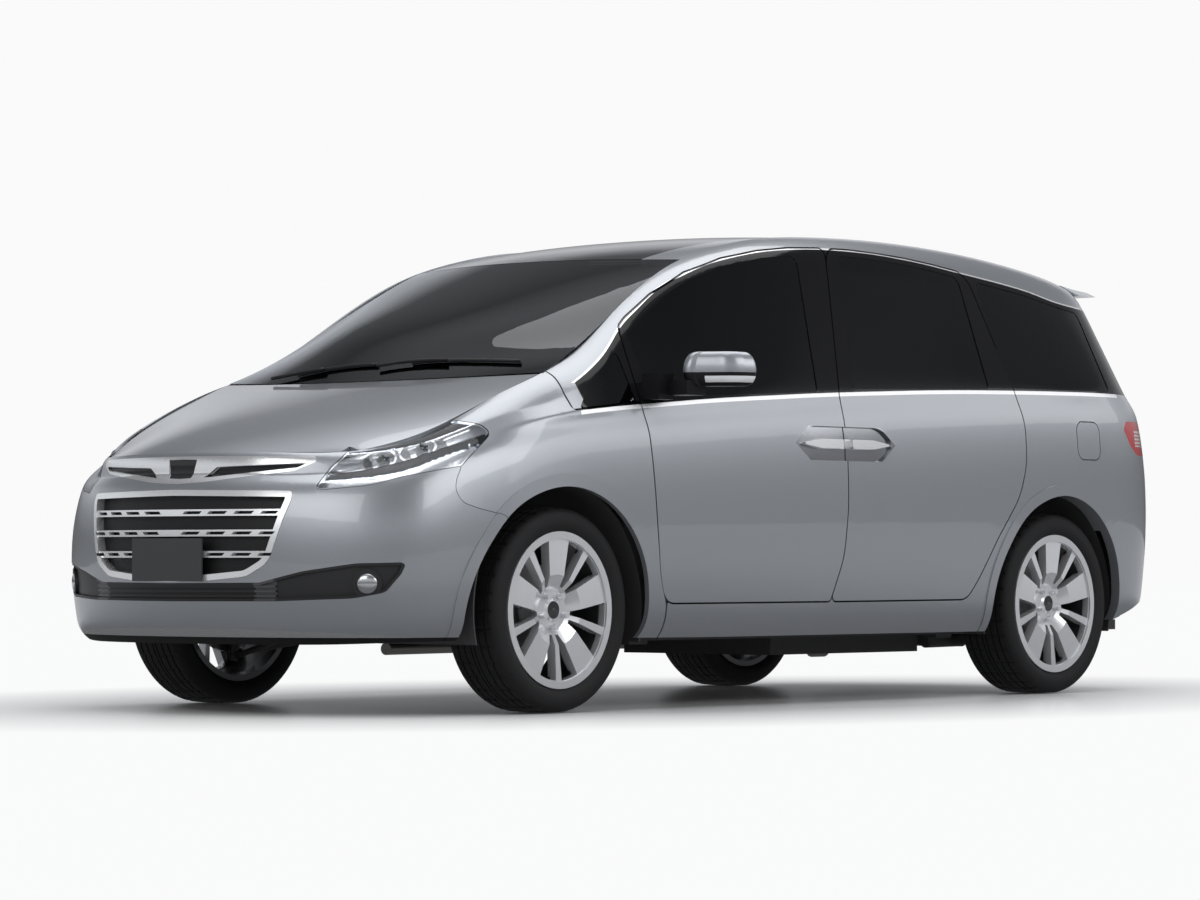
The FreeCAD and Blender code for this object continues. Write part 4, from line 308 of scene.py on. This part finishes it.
# Glass part of the roof
ROOF_GLASS_FROM_X = -0.42
ROOF_GLASS_HALF_WIDTH = 0.50


def roof_layers(g, x, y, z):
    middle = g.below(g.maths("ABSOLUTE", y), ROOF_GLASS_HALF_WIDTH)
    return [(g.both(g.above(x, ROOF_GLASS_FROM_X), middle), *ROOF_GLASS)]


# Mirrors: dark foot and lower half, turn lamp, and the glass on the face that looks back
MIRROR_SPLIT_Z = 1.163
MIRROR_FOOT_TO_Y = 0.972
TURN_LAMP_Z = (1.128, 1.150)
TURN_LAMP_FROM_Y = 1.070
MIRROR_GLASS_Z = (1.128, 1.226)
MIRROR_GLASS_FROM_Y = 0.992
LOOKS_BACK = -0.62
LOOKS_BACK_SOFT = 0.02


def mirror_layers(g, x, y, z):
    reach = g.maths("ABSOLUTE", y)
    dark = g.either(g.below(z, MIRROR_SPLIT_Z), g.below(reach, MIRROR_FOOT_TO_Y))
    lamp = g.both(g.within(z, *TURN_LAMP_Z), g.above(reach, TURN_LAMP_FROM_Y))
    coords = g.tree.nodes.new("ShaderNodeTexCoord")
    split = g.tree.nodes.new("ShaderNodeSeparateXYZ")
    g.tree.links.new(coords.outputs["Normal"], split.inputs[0])
    back = g.below(split.outputs[0], LOOKS_BACK, LOOKS_BACK_SOFT)
    glass = g.both(g.both(back, g.within(z, *MIRROR_GLASS_Z)), g.above(reach, MIRROR_GLASS_FROM_Y))
    return [(dark, *MIRROR_BLACK), (lamp, *TURN_LAMP), (glass, *MIRROR_GLASS)]


# Clear band of the tail lamps, with fine bars
CLEAR_BAND_X = (-2.20, -2.03)
CLEAR_BAND_Z = (0.966, 1.030)
BARS_PER_METRE = 70.0


def tail_layers(g, x, y, z):
    clear = g.both(g.within(z, *CLEAR_BAND_Z), g.within(x, *CLEAR_BAND_X))
    bars = g.within(g.maths("FRACT", g.maths("MULTIPLY", z, BARS_PER_METRE)), 0.0, 0.5)
    return [(clear, *CLEAR_LENS), (g.both(clear, bars), *LENS_BARS)]


# Wheels: brake disc behind the spokes, dark barrel and the centre cap
DISC_TO_Y = 0.7450
DISC_RADIUS = 0.162
BARREL_TO_Y = 0.840
BARREL_FROM_RADIUS = 0.225
CAP_RADIUS = 0.030


def rim_layers(g, x, y, z):
    reach = g.maths("ABSOLUTE", y)
    from_middle = g.maths("ABSOLUTE", g.maths("SUBTRACT", x, AXLE_MIDDLE))
    from_axle = g.maths("SUBTRACT", from_middle, HALF_WHEELBASE)
    radius = g.distance(from_axle, g.maths("SUBTRACT", z, FRONT_AXLE[2]))
    barrel = g.both(g.below(reach, BARREL_TO_Y), g.above(radius, BARREL_FROM_RADIUS))
    disc = g.both(g.below(reach, DISC_TO_Y), g.below(radius, DISC_RADIUS))
    cap = g.below(radius, CAP_RADIUS)
    return [(barrel, *RIM_BARREL), (disc, *BRAKE_DISC), (cap, *CENTRE_CAP)]


PIPE_TIP_TO_X = -2.24


def exhaust_layers(g, x, y, z):
    return [(g.below(x, PIPE_TIP_TO_X), *PIPE_TIP)]


# Slot on each side of the upper grille and the bare panel in its middle, seen from the front:
# (distance from the middle, z)
SLOT_OUTLINE = ((0.112, 0.7910), (0.449, 0.8222), (0.478, 0.8355), (0.161, 0.8252))
MIDDLE_OUTLINE = ((-0.01, 0.7872), (0.0535, 0.7898), (0.0660, 0.8516), (-0.01, 0.8533))


def upper_grille_layers(g, x, y, z):
    reach = g.maths("ABSOLUTE", y)
    slot = g.inside(reach, z, SLOT_OUTLINE)
    middle = g.inside(reach, z, MIDDLE_OUTLINE)
    return [(slot, *GRILLE_SLOT), (middle, *MIDDLE_DARK)]


# Posts of the lower grille
POSTS_Y = (0.350, 0.425)
POSTS_FROM_Z = 0.30


def lower_grille_layers(g, x, y, z):
    posts = g.both(g.within(g.maths("ABSOLUTE", y), *POSTS_Y), g.above(z, POSTS_FROM_Z))
    return [(posts, *GRILLE_POST)]


# Metallic flake and clear coat of the paint
FLAKE_SCALE = 1400.0
FLAKE_STRENGTH = 0.04
FLAKE_DEPTH = 0.0002
PAINT_COAT = 0.8
PAINT_COAT_ROUGH = 0.02
PAINT_SPECULAR = 0.5
LAYER_SPECULAR = 0.22


def flakes(g):
    """Fine flake as a slight change of the normal, and a clear coat where no layer lies over the paint."""
    coords = g.tree.nodes.new("ShaderNodeTexCoord")
    noise = g.tree.nodes.new("ShaderNodeTexVoronoi")
    noise.inputs["Scale"].default_value = FLAKE_SCALE
    g.tree.links.new(coords.outputs["Object"], noise.inputs["Vector"])
    bump = g.tree.nodes.new("ShaderNodeBump")
    bump.inputs["Strength"].default_value = FLAKE_STRENGTH
    bump.inputs["Distance"].default_value = FLAKE_DEPTH
    g.tree.links.new(noise.outputs["Distance"], bump.inputs["Height"])
    g.tree.links.new(bump.outputs["Normal"], g.bsdf.inputs["Normal"])
    g.feed(g.bsdf.inputs["Coat Weight"], g.maths("MULTIPLY", g.coat, PAINT_COAT))
    g.feed(g.bsdf.inputs["Specular IOR Level"], g.mix(g.coat, LAYER_SPECULAR, PAINT_SPECULAR))
    g.bsdf.inputs["Coat Roughness"].default_value = PAINT_COAT_ROUGH


def paint(name, offset, makers):
    """Body paint with other finishes laid over it by their place on the body."""
    mat = new_material(name)

    def layers(g):
        place = g.place(offset)
        return [layer for maker in makers for layer in maker(g, *place)]

    flakes(finish_by_mask(mat, layers, *BODY_PAINT))
    return mat


def layered(name, offset, layers, base, rough, metal, coat):
    """Material with one base finish and others laid over it by place."""
    mat = new_material(name)
    g = finish_by_mask(mat, lambda graph: layers(graph, *graph.place(offset)), base, rough, metal)
    g.bsdf.inputs["Coat Weight"].default_value = coat
    return mat


def clear_glass(name, tint, density):
    """Thin tinted glass: part seen through, part mirror."""
    mat = new_material(name)
    g = Graph(mat)
    see = g.tree.nodes.new("ShaderNodeBsdfTransparent")
    see.inputs["Color"].default_value = (*[1 - (1 - c) * density for c in tint], 1)
    gloss = g.tree.nodes.new("ShaderNodeBsdfGlossy")
    gloss.inputs["Color"].default_value = (0.9, 0.92, 0.95, 1)
    gloss.inputs["Roughness"].default_value = 0.01
    fresnel = g.tree.nodes.new("ShaderNodeFresnel")
    fresnel.inputs["IOR"].default_value = 1.5
    g.surface(g.mix_shader(fresnel.outputs[0], see.outputs[0], gloss.outputs[0]))
    return mat


def set_material(obj, mat):
    obj.data.materials.clear()
    obj.data.materials.append(mat)


# Plain finishes by material slot: colour, roughness and, where it isn't 0, metallic
BLACK_PLASTIC = ramp("black_plastic", (0.010, 0.010, 0.011), 0.45, grain=300, bump=0.15, specular=0.35)
MATERIALS = {
    "black_plastic": BLACK_PLASTIC,
    "dark_body": ramp("dark_body", (0.03, 0.03, 0.032), 0.55, grain=30),
    "trim": ramp("trim", (0.06, 0.056, 0.052), 0.6, grain=500, bump=0.25),
    "cloth": ramp("cloth", (0.17, 0.155, 0.14), 0.85, grain=900, bump=0.4),
    "chrome": ramp("chrome", CHROME, 0.08, 1.0, grain=10, vary=0.02),
    "satin_grille": ramp("grille_chrome", (0.86, 0.87, 0.88), 0.24, 0.70, grain=20),
    "lamp_chrome": ramp("lamp_chrome", (0.84, 0.85, 0.87), 0.22, 0.85, grain=20),
    "plate": ramp("plate", (0.035, 0.036, 0.038), 0.35, grain=60),
    "engine_metal": ramp("engine_metal", (0.30, 0.31, 0.32), 0.45, 0.8, grain=60, bump=0.3),
    "chassis": ramp("chassis", (0.035, 0.035, 0.036), 0.55, 0.2, grain=50, bump=0.2),
    "tank": ramp("tank", (0.02, 0.02, 0.02), 0.6, grain=60),
    "grip": ramp("grip", (0.03, 0.03, 0.03), 0.5, grain=400, bump=0.3),
    "tyre": ramp("tyre", (0.010, 0.010, 0.011), 0.68, grain=120, bump=0.1, specular=0.3),
    "glass": clear_glass("window_glass", (0.10, 0.11, 0.11), 0.66),
    "lamp_glass": clear_glass("lamp_glass", (0.93, 0.95, 0.97), 0.3),
}

# Nodes with several finishes and no paint: layers, base colour, roughness, metallic, coat
LAYERED = {
    "tail_lamps": (tail_layers, (0.36, 0.006, 0.008), 0.10, 0.0, 1.0),
    "exhaust": (exhaust_layers, (0.30, 0.29, 0.27), 0.38, 0.9, 0.0),
    "upper_grille": (upper_grille_layers, CHROME, 0.20, 0.85, 0.0),
    "lower_grille": (lower_grille_layers, (0.014, 0.014, 0.015), 0.40, 0.0, 0.0),
}
for corner in ("front_left", "front_right", "rear_left", "rear_right"):
    LAYERED["rim_" + corner] = (rim_layers, (0.74, 0.75, 0.77), 0.24, 0.7, 0.3)

# Painted nodes whose layers differ from those of the rest of the body
PAINTED = {
    "front_door_left": [window_layers, handle_layers],
    "front_door_right": [window_layers, handle_layers],
    "sliding_doors": [window_layers, handle_layers],
    "front_bumper": [window_layers, bumper_layers],
    "roof_panel": [window_layers, roof_layers],
    "mirror_left": [mirror_layers],
    "mirror_right": [mirror_layers],
}

slots = {subpart["node"]: subpart["material_slot"] for subpart in frame["record"]["subparts"]}
for label, obj in nodes.items():
    offset = obj.matrix_world.translation.copy()
    if label in LAYERED:
        set_material(obj, layered("finish_" + label, offset, *LAYERED[label]))
    elif slots[label] == "paint":
        set_material(obj, paint("paint_" + label, offset, PAINTED.get(label, [window_layers])))
    else:
        set_material(obj, MATERIALS[slots[label]])


def mesh_object(name, verts, faces, mat, body="body_shell", smooth=True):
    mesh = bpy.data.meshes.new(name)
    mesh.from_pydata([tuple(v) for v in verts], [], faces)
    mesh.validate()
    mesh.update()
    if smooth:
        mesh.polygons.foreach_set("use_smooth", [True] * len(mesh.polygons))
    obj = bpy.data.objects.new(name, mesh)
    bpy.context.scene.collection.objects.link(obj)
    obj.data.materials.append(mat)
    if body:
        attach(obj, body)
    return obj


# Tyre section in shares of the tyre's radius, as (radius, distance from the wheel's middle plane): first the
# sidewall, and then the crown, by distance and kind of tread. Depths of the grooves are shares too.
SIDEWALL = [(0.7305, 0.285), (0.767, 0.288), (0.790, 0.312), (0.826, 0.330), (0.860, 0.3365),
            (0.900, 0.3350), (0.925, 0.330), (0.945, 0.324), (0.965, 0.309), (0.982, 0.285)]
CROWN = [(0.262, "block"), (0.205, "block"), (0.204, "groove"), (0.188, "groove"), (0.187, "block"),
         (0.118, "block"), (0.117, "groove"), (0.102, "groove"), (0.101, "block"), (0.030, "block"),
         (0.029, "groove"), (0.0145, "groove"), (0.0144, "block")]
CROWN_RADIUS = 0.9995
CROWN_DROP = 0.12
INNER_BEAD = (0.7305, -0.280, "plain")
GROOVE_DEPTH = 0.020
CROSS_GROOVE_DEPTH = 0.012
CROSS_GROOVE_FROM = 0.10
TYRE_TURNS = 216
TURNS_PER_BLOCK = 6


def tyre(label, centre, side, mat):
    """Tyre turned from a section, with tread blocks cut by cross grooves."""
    rows = [(r, a, "plain") for r, a in SIDEWALL]
    rows += [(CROWN_RADIUS - CROWN_DROP * a * a, a, kind) for a, kind in CROWN]
    rows += [(r, -a, kind) for r, a, kind in reversed(rows)]
    rows.append(INNER_BEAD)
    verts = []
    for i in range(TYRE_TURNS):
        angle = 2 * math.pi * i / TYRE_TURNS
        for r, a, kind in rows:
            radius = r
            if kind == "groove":
                radius = r - GROOVE_DEPTH
            elif kind == "block" and i % TURNS_PER_BLOCK == 0 and abs(a) > CROSS_GROOVE_FROM:
                radius = r - CROSS_GROOVE_DEPTH
            verts.append((centre[0] + radius * TYRE_RADIUS * math.cos(angle),
                          centre[1] * side + a * TYRE_RADIUS,
                          centre[2] + radius * TYRE_RADIUS * math.sin(angle)))
    count = len(rows)
    faces = []
    for i in range(TYRE_TURNS):
        j = (i + 1) % TYRE_TURNS
        for k in range(count):
            m = (k + 1) % count
            faces.append((i * count + k, i * count + m, j * count + m, j * count + k))
    obj = mesh_object("tread_" + label, verts, faces, mat, "wheel_" + label, smooth=False)
    plain = [row[2] == "plain" for row in rows]
    smooth = [plain[k] and plain[(k + 1) % count] for _ in range(TYRE_TURNS) for k in range(count)]
    obj.data.polygons.foreach_set("use_smooth", smooth)
    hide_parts("tyre_" + label)


for label, centre, side in (("front_left", FRONT_AXLE, 1), ("front_right", FRONT_AXLE, -1),
                            ("rear_left", REAR_AXLE, 1), ("rear_right", REAR_AXLE, -1)):
    tyre(label, centre, side, MATERIALS["tyre"])


def box_mesh(name, low, high, mat, bevel, body="body_shell"):
    """Box with rounded edges."""
    work = bmesh.new()
    bmesh.ops.create_cube(work, size=1.0)
    for vert in work.verts:
        vert.co = Vector([low[i] + (vert.co[i] + 0.5) * (high[i] - low[i]) for i in range(3)])
    bmesh.ops.bevel(work, geom=work.edges[:], offset=bevel, segments=3, profile=0.6, affect="EDGES")
    mesh = bpy.data.meshes.new(name)
    work.to_mesh(mesh)
    work.free()
    mesh.polygons.foreach_set("use_smooth", [True] * len(mesh.polygons))
    obj = bpy.data.objects.new(name, mesh)
    bpy.context.scene.collection.objects.link(obj)
    obj.data.materials.append(mat)
    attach(obj, body)


def tube(name, points, radius, mat, sides=12):
    """Round bar through points, none of whose stretches is upright."""
    verts = []
    faces = []
    count = len(points)
    for i, point in enumerate(points):
        here = Vector(point)
        run = (Vector(points[min(i + 1, count - 1)]) - Vector(points[max(i - 1, 0)])).normalized()
        side = run.cross(UP)
        side.normalize()
        up = side.cross(run)
        for k in range(sides):
            angle = 2 * math.pi * k / sides
            verts.append(here + side * radius * math.cos(angle) + up * radius * math.sin(angle))
    for i in range(count - 1):
        for k in range(sides):
            n = (k + 1) % sides
            faces.append((i * sides + k, i * sides + n, (i + 1) * sides + n, (i + 1) * sides + k))
    faces.append(tuple(reversed(range(sides))))
    faces.append(tuple((count - 1) * sides + k for k in range(sides)))
    mesh_object(name, verts, faces, mat)


DOME_RINGS = 8


def dome(name, centre, axes, radius, rise, turns, mat, wound_back):
    """Half ball that stands on its centre: axes are the way it points and the two across it."""
    aim, across, up = axes
    verts = []
    faces = []
    for i in range(DOME_RINGS + 1):
        lat = math.pi / 2 * i / DOME_RINGS
        for k in range(turns):
            lon = 2 * math.pi * k / turns
            spread = across * math.cos(lon) + up * math.sin(lon)
            verts.append(centre + spread * radius * math.cos(lat) + aim * rise * math.sin(lat))
    for i in range(DOME_RINGS):
        for k in range(turns):
            n = (k + 1) % turns
            a, b, c, d = i * turns + k, i * turns + n, (i + 1) * turns + n, (i + 1) * turns + k
            faces.append((a, d, c, b) if wound_back else (a, b, c, d))
    mesh_object(name, verts, faces, mat)


HIGH_OVER_ROOF = 3.0


def along_glass(obj, start, end, lift, steps=12):
    """Points just over a node's upper surface between two plan places."""
    inverse = obj.matrix_world.inverted()
    down = (inverse.to_3x3() @ -UP).normalized()
    points = []
    for i in range(steps + 1):
        t = i / steps
        x = start[0] + (end[0] - start[0]) * t
        y = start[1] + (end[1] - start[1]) * t
        hit, place, normal, _ = obj.ray_cast(inverse @ Vector((x, y, HIGH_OVER_ROOF)), down)
        if hit:
            away = (obj.matrix_world.to_3x3() @ normal).normalized()
            points.append(obj.matrix_world @ place + away * lift)
    return points


# Wipers at the foot of the windscreen: plan places of the pivot, the elbow and the far end of the blade
WIPERS = (((1.505, 0.10), (1.435, 0.36), (1.345, 0.62)), ((1.500, -0.42), (1.505, -0.16), (1.490, 0.08)))
ARM_LIFT, ARM_RADIUS = 0.016, 0.006
BLADE_LIFT, BLADE_RADIUS = 0.008, 0.0065
for index, (pivot, elbow, far) in enumerate(WIPERS):
    arm_middle = ((pivot[0] + elbow[0]) / 2, (pivot[1] + elbow[1]) / 2)
    arm = along_glass(nodes["windscreen"], pivot, elbow, ARM_LIFT)
    blade = along_glass(nodes["windscreen"], arm_middle, far, BLADE_LIFT)
    tube("wiper_arm_%d" % index, arm, ARM_RADIUS, BLACK_PLASTIC)
    tube("wiper_blade_%d" % index, blade, BLADE_RADIUS, BLACK_PLASTIC)

# Projectors behind the clear headlamp lenses; the places are on the left side
PROJECTOR = ramp("projector_glass", (0.02, 0.025, 0.03), 0.02, grain=10, coat=1.0)
PROJECTOR_PLACES = ((2.068, 0.660, 0.842), (1.963, 0.735, 0.880))
PROJECTOR_RADIUS, PROJECTOR_RISE, PROJECTOR_TURNS = 0.027, 0.020, 28
for side in (1, -1):
    axes = (Vector((1, 0, 0)), Vector((0, side, 0)), UP)
    for index, (x, y, z) in enumerate(PROJECTOR_PLACES):
        dome("projector_%d_%d" % (index, side), Vector((x, y * side, z)), axes, PROJECTOR_RADIUS,
             PROJECTOR_RISE, PROJECTOR_TURNS, PROJECTOR, wound_back=False)

# Reflector domes of the fog lamps, set on their lenses; the place and the aim are of the left side
FOG = ramp("fog_reflector", (0.50, 0.51, 0.53), 0.16, 0.9, grain=10, coat=1.0)
FOG_PLACE = (2.190, 0.700, 0.440)
FOG_AIM = (0.80, 0.60)
FOG_RADIUS, FOG_RISE, FOG_TURNS = 0.034, 0.010, 32
RAY_START = 0.5
set_material(nodes["fog_lamps"], MATERIALS["plate"])
for side in (1, -1):
    aim = Vector((FOG_AIM[0], FOG_AIM[1] * side, 0.0))
    centre = Vector((FOG_PLACE[0], FOG_PLACE[1] * side, FOG_PLACE[2]))
    hit, centre, _, _ = nodes["fog_lamps"].ray_cast(centre + aim * RAY_START, -aim)
    if hit:
        dome("fog_reflector_%d" % side, centre, (aim, aim.cross(UP), UP), FOG_RADIUS, FOG_RISE, FOG_TURNS,
             FOG, wound_back=True)

# Crowned panels on the seats
PAD_STEPS = 14
SWELL_POWER = 3.2
EDGE_SHARE = 0.25
CORNER_PULL = 0.05


def pad(name, centre, size):
    """Cushion panel, lower at its edge and with corners that pull in."""
    count = PAD_STEPS
    verts = []
    faces = []
    for level in (0, 1):
        for i in range(count + 1):
            for j in range(count + 1):
                u, v = 2 * i / count - 1, 2 * j / count - 1
                swell = (1 - abs(u) ** SWELL_POWER) * (1 - abs(v) ** SWELL_POWER)
                lift = size[2] * (EDGE_SHARE + (1 - EDGE_SHARE) * max(swell, 0.0) ** 0.5) if level else 0.0
                shrink = 1 - CORNER_PULL * abs(u * v) ** 2
                verts.append(Vector((centre[0] + u * size[0] / 2 * shrink,
                                     centre[1] + v * size[1] / 2 * shrink, centre[2] + lift)))
    row = count + 1
    flat = row * row
    for i in range(count):
        for j in range(count):
            a = i * row + j
            faces.append((flat + a, flat + a + row, flat + a + row + 1, flat + a + 1))
    for i in range(count):
        for a, b in ((i * row, (i + 1) * row), ((i + 1) * row + count, i * row + count),
                     (i + 1, i), (count * row + i, count * row + i + 1)):
            faces.append((a, b, flat + b, flat + a))
    obj = mesh_object(name, verts, faces, MATERIALS["cloth"])


for side in (1, -1):
    pad("front_cushion_%d" % side, (0.34, 0.365 * side, 0.588), (0.36, 0.34, 0.022))
    pad("second_cushion_%d" % side, (-0.66, 0.375 * side, 0.598), (0.30, 0.36, 0.022))
pad("third_cushion", (-1.47, 0.0, 0.588), (0.28, 0.70, 0.020))

# Inside mirror, vents, screen, gear lever and pedals
VENT_PLACES = (-0.60, -0.16, 0.16, 0.60)
VENT_HALF_WIDTH = 0.055
PEDAL_PLACES = (0.30, 0.40)
PEDAL_HALF_WIDTH = 0.03
box_mesh("inside_mirror", (0.86, -0.12, 1.37), (0.885, 0.12, 1.43), BLACK_PLASTIC, 0.008)
tube("inside_mirror_stalk", [(0.885, 0, 1.42), (0.93, 0, 1.452)], 0.008, BLACK_PLASTIC)
for y in VENT_PLACES:
    box_mesh("vent_%d" % int(y * 100), (0.612, y - VENT_HALF_WIDTH, 0.905),
             (0.630, y + VENT_HALF_WIDTH, 0.965), BLACK_PLASTIC, 0.004)
box_mesh("centre_screen", (0.600, -0.105, 0.78), (0.618, 0.105, 0.885), MATERIALS["plate"], 0.003)
tube("gear_lever", [(0.42, 0, 0.52), (0.40, 0, 0.62)], 0.010, MATERIALS["chrome"])
box_mesh("gear_knob", (0.372, -0.026, 0.615), (0.428, 0.026, 0.665), MATERIALS["grip"], 0.014)
for index, y in enumerate(PEDAL_PLACES):
    box_mesh("pedal_%d" % index, (0.86, y - PEDAL_HALF_WIDTH, 0.36), (0.872, y + PEDAL_HALF_WIDTH, 0.46),
             BLACK_PLASTIC, 0.003)

# Studio floor: pale and slightly glossy near the car, fading into the backdrop away from it. Reflections see
# a darker floor, so that the lower body mirrors dark.
FLOOR_HALF_SIZE = 60
FADE_LENGTHS = (2.75, 1.75)
FLOOR_FADE = (1.08, 0.7)
DIM_FADE = (1.9, 1.0)
DIM_NEAR = (0.15, 0.152, 0.158)
DIM_FAR = (0.56, 0.57, 0.59)
floor_mat = new_material("studio_floor")
g = Graph(floor_mat)
g.bsdf.inputs["Base Color"].default_value = (0.90, 0.90, 0.905, 1)
g.bsdf.inputs["Specular IOR Level"].default_value = 0.4
x, y, z = g.place((0.0, 0.0, 0.0))
noise = g.tree.nodes.new("ShaderNodeTexNoise")
noise.inputs["Scale"].default_value = 3.0
g.feed(g.bsdf.inputs["Roughness"], g.maths("ADD", g.maths("MULTIPLY", noise.outputs["Fac"], 0.04), 0.16))
away = g.distance(g.maths("DIVIDE", x, FADE_LENGTHS[0]), g.maths("DIVIDE", y, FADE_LENGTHS[1]))
glow = g.tree.nodes.new("ShaderNodeEmission")
glow.inputs["Color"].default_value = (0.955, 0.957, 0.96, 1)
seen_floor = g.mix_shader(g.above(away, *FLOOR_FADE), g.bsdf.outputs[0], glow.outputs[0])
dim = g.tree.nodes.new("ShaderNodeEmission")
g.feed(dim.inputs["Color"], g.mix_colour(g.above(away, *DIM_FADE), DIM_NEAR, DIM_FAR))
path = g.tree.nodes.new("ShaderNodeLightPath")
g.surface(g.mix_shader(path.outputs["Is Glossy Ray"], seen_floor, dim.outputs[0]))
corners = [(-FLOOR_HALF_SIZE, -FLOOR_HALF_SIZE, 0), (FLOOR_HALF_SIZE, -FLOOR_HALF_SIZE, 0),
           (FLOOR_HALF_SIZE, FLOOR_HALF_SIZE, 0), (-FLOOR_HALF_SIZE, FLOOR_HALF_SIZE, 0)]
floor = mesh_object("studio_floor", corners, [(0, 1, 2, 3)], floor_mat, body=None, smooth=False)

# World: near white to the camera. What lights the car or shows in it has light and dark bands by height:
# (share of the way up, level)
SKY = [(0.0, 0.10), (0.06, 0.15), (0.14, 0.60), (0.22, 1.05), (0.30, 0.85), (0.40, 0.26), (0.62, 0.24),
       (0.80, 0.75), (1.0, 0.95)]
SKY_TINT = (0.97, 0.99, 1.03)
SKY_STRENGTH = 0.74
BACKDROP_STRENGTH = 0.955
world = bpy.data.worlds.new("studio")
bpy.context.scene.world = world
world.use_nodes = True
tree = world.node_tree
background = tree.nodes["Background"]
background.inputs["Strength"].default_value = SKY_STRENGTH
white = tree.nodes.new("ShaderNodeBackground")
white.inputs["Color"].default_value = (1.0, 1.0, 1.0, 1)
white.inputs["Strength"].default_value = BACKDROP_STRENGTH
coords = tree.nodes.new("ShaderNodeTexCoord")
split = tree.nodes.new("ShaderNodeSeparateXYZ")
tree.links.new(coords.outputs["Generated"], split.inputs[0])
sky = tree.nodes.new("ShaderNodeValToRGB")
sky.color_ramp.elements[0].position = SKY[0][0]
sky.color_ramp.elements[1].position = SKY[-1][0]
for share, level in SKY[1:-1]:
    sky.color_ramp.elements.new(share)
for element, (share, level) in zip(sky.color_ramp.elements, SKY):
    element.color = (*[level * tint for tint in SKY_TINT], 1)
tree.links.new(split.outputs["Z"], sky.inputs["Fac"])
tree.links.new(sky.outputs["Color"], background.inputs["Color"])
path = tree.nodes.new("ShaderNodeLightPath")
seen = tree.nodes.new("ShaderNodeMath")
seen.operation = "MAXIMUM"
tree.links.new(path.outputs["Is Glossy Ray"], seen.inputs[0])
tree.links.new(path.outputs["Is Diffuse Ray"], seen.inputs[1])
blend = tree.nodes.new("ShaderNodeMixShader")
tree.links.new(seen.outputs[0], blend.inputs[0])
tree.links.new(white.outputs[0], blend.inputs[1])
tree.links.new(background.outputs[0], blend.inputs[2])
tree.links.new(blend.outputs[0], tree.nodes["World Output"].inputs["Surface"])

# Softboxes: name, place, target, width, height, power
LIGHTS = (
    ("top_box", (0.0, 0.6, 5.6), (0, 0, 0), 9.0, 5.0, 230),
    ("left_box", (-0.5, 8.5, 4.6), (0, 0.3, 0.8), 9.0, 2.6, 190),
    ("shoulder_box", (-10.0, 8.8, 4.4), (0, 0.9, 1.0), 9.0, 2.4, 70),
    ("front_box", (9.5, 1.5, 4.2), (1.8, 0, 0.7), 6.0, 2.6, 110),
    ("rear_box", (-7.5, -4.0, 3.5), (-1, 0, 0.8), 4.0, 2.5, 160),
)
for name, place, target, width, height, power in LIGHTS:
    data = bpy.data.lights.new(name, "AREA")
    data.energy = power
    data.shape = "RECTANGLE"
    data.size = width
    data.size_y = height
    softbox = bpy.data.objects.new(name, data)
    softbox.location = place
    softbox.rotation_euler = (Vector(target) - Vector(place)).to_track_quat("-Z", "Y").to_euler()
    bpy.context.scene.collection.objects.link(softbox)
bpy.data.objects["rear_box"].visible_glossy = False

# Camera as in the photograph
CAMERA_PLACE = (12.591, 10.638, 0.518)
CAMERA_TURN = math.radians(-139.334)
CAMERA_RISE = math.radians(1.4295)
data = bpy.data.cameras.new("photo_camera")
data.sensor_width = 36.0
data.lens = 131.83
camera = bpy.data.objects.new("photo_camera", data)
camera.location = CAMERA_PLACE
look = Vector((math.cos(CAMERA_TURN) * math.cos(CAMERA_RISE), math.sin(CAMERA_TURN) * math.cos(CAMERA_RISE),
               math.sin(CAMERA_RISE)))
camera.rotation_euler = look.to_track_quat("-Z", "Y").to_euler()
bpy.context.scene.collection.objects.link(camera)
bpy.context.scene.camera = camera
bpy.context.scene.view_settings.view_transform = "Standard"
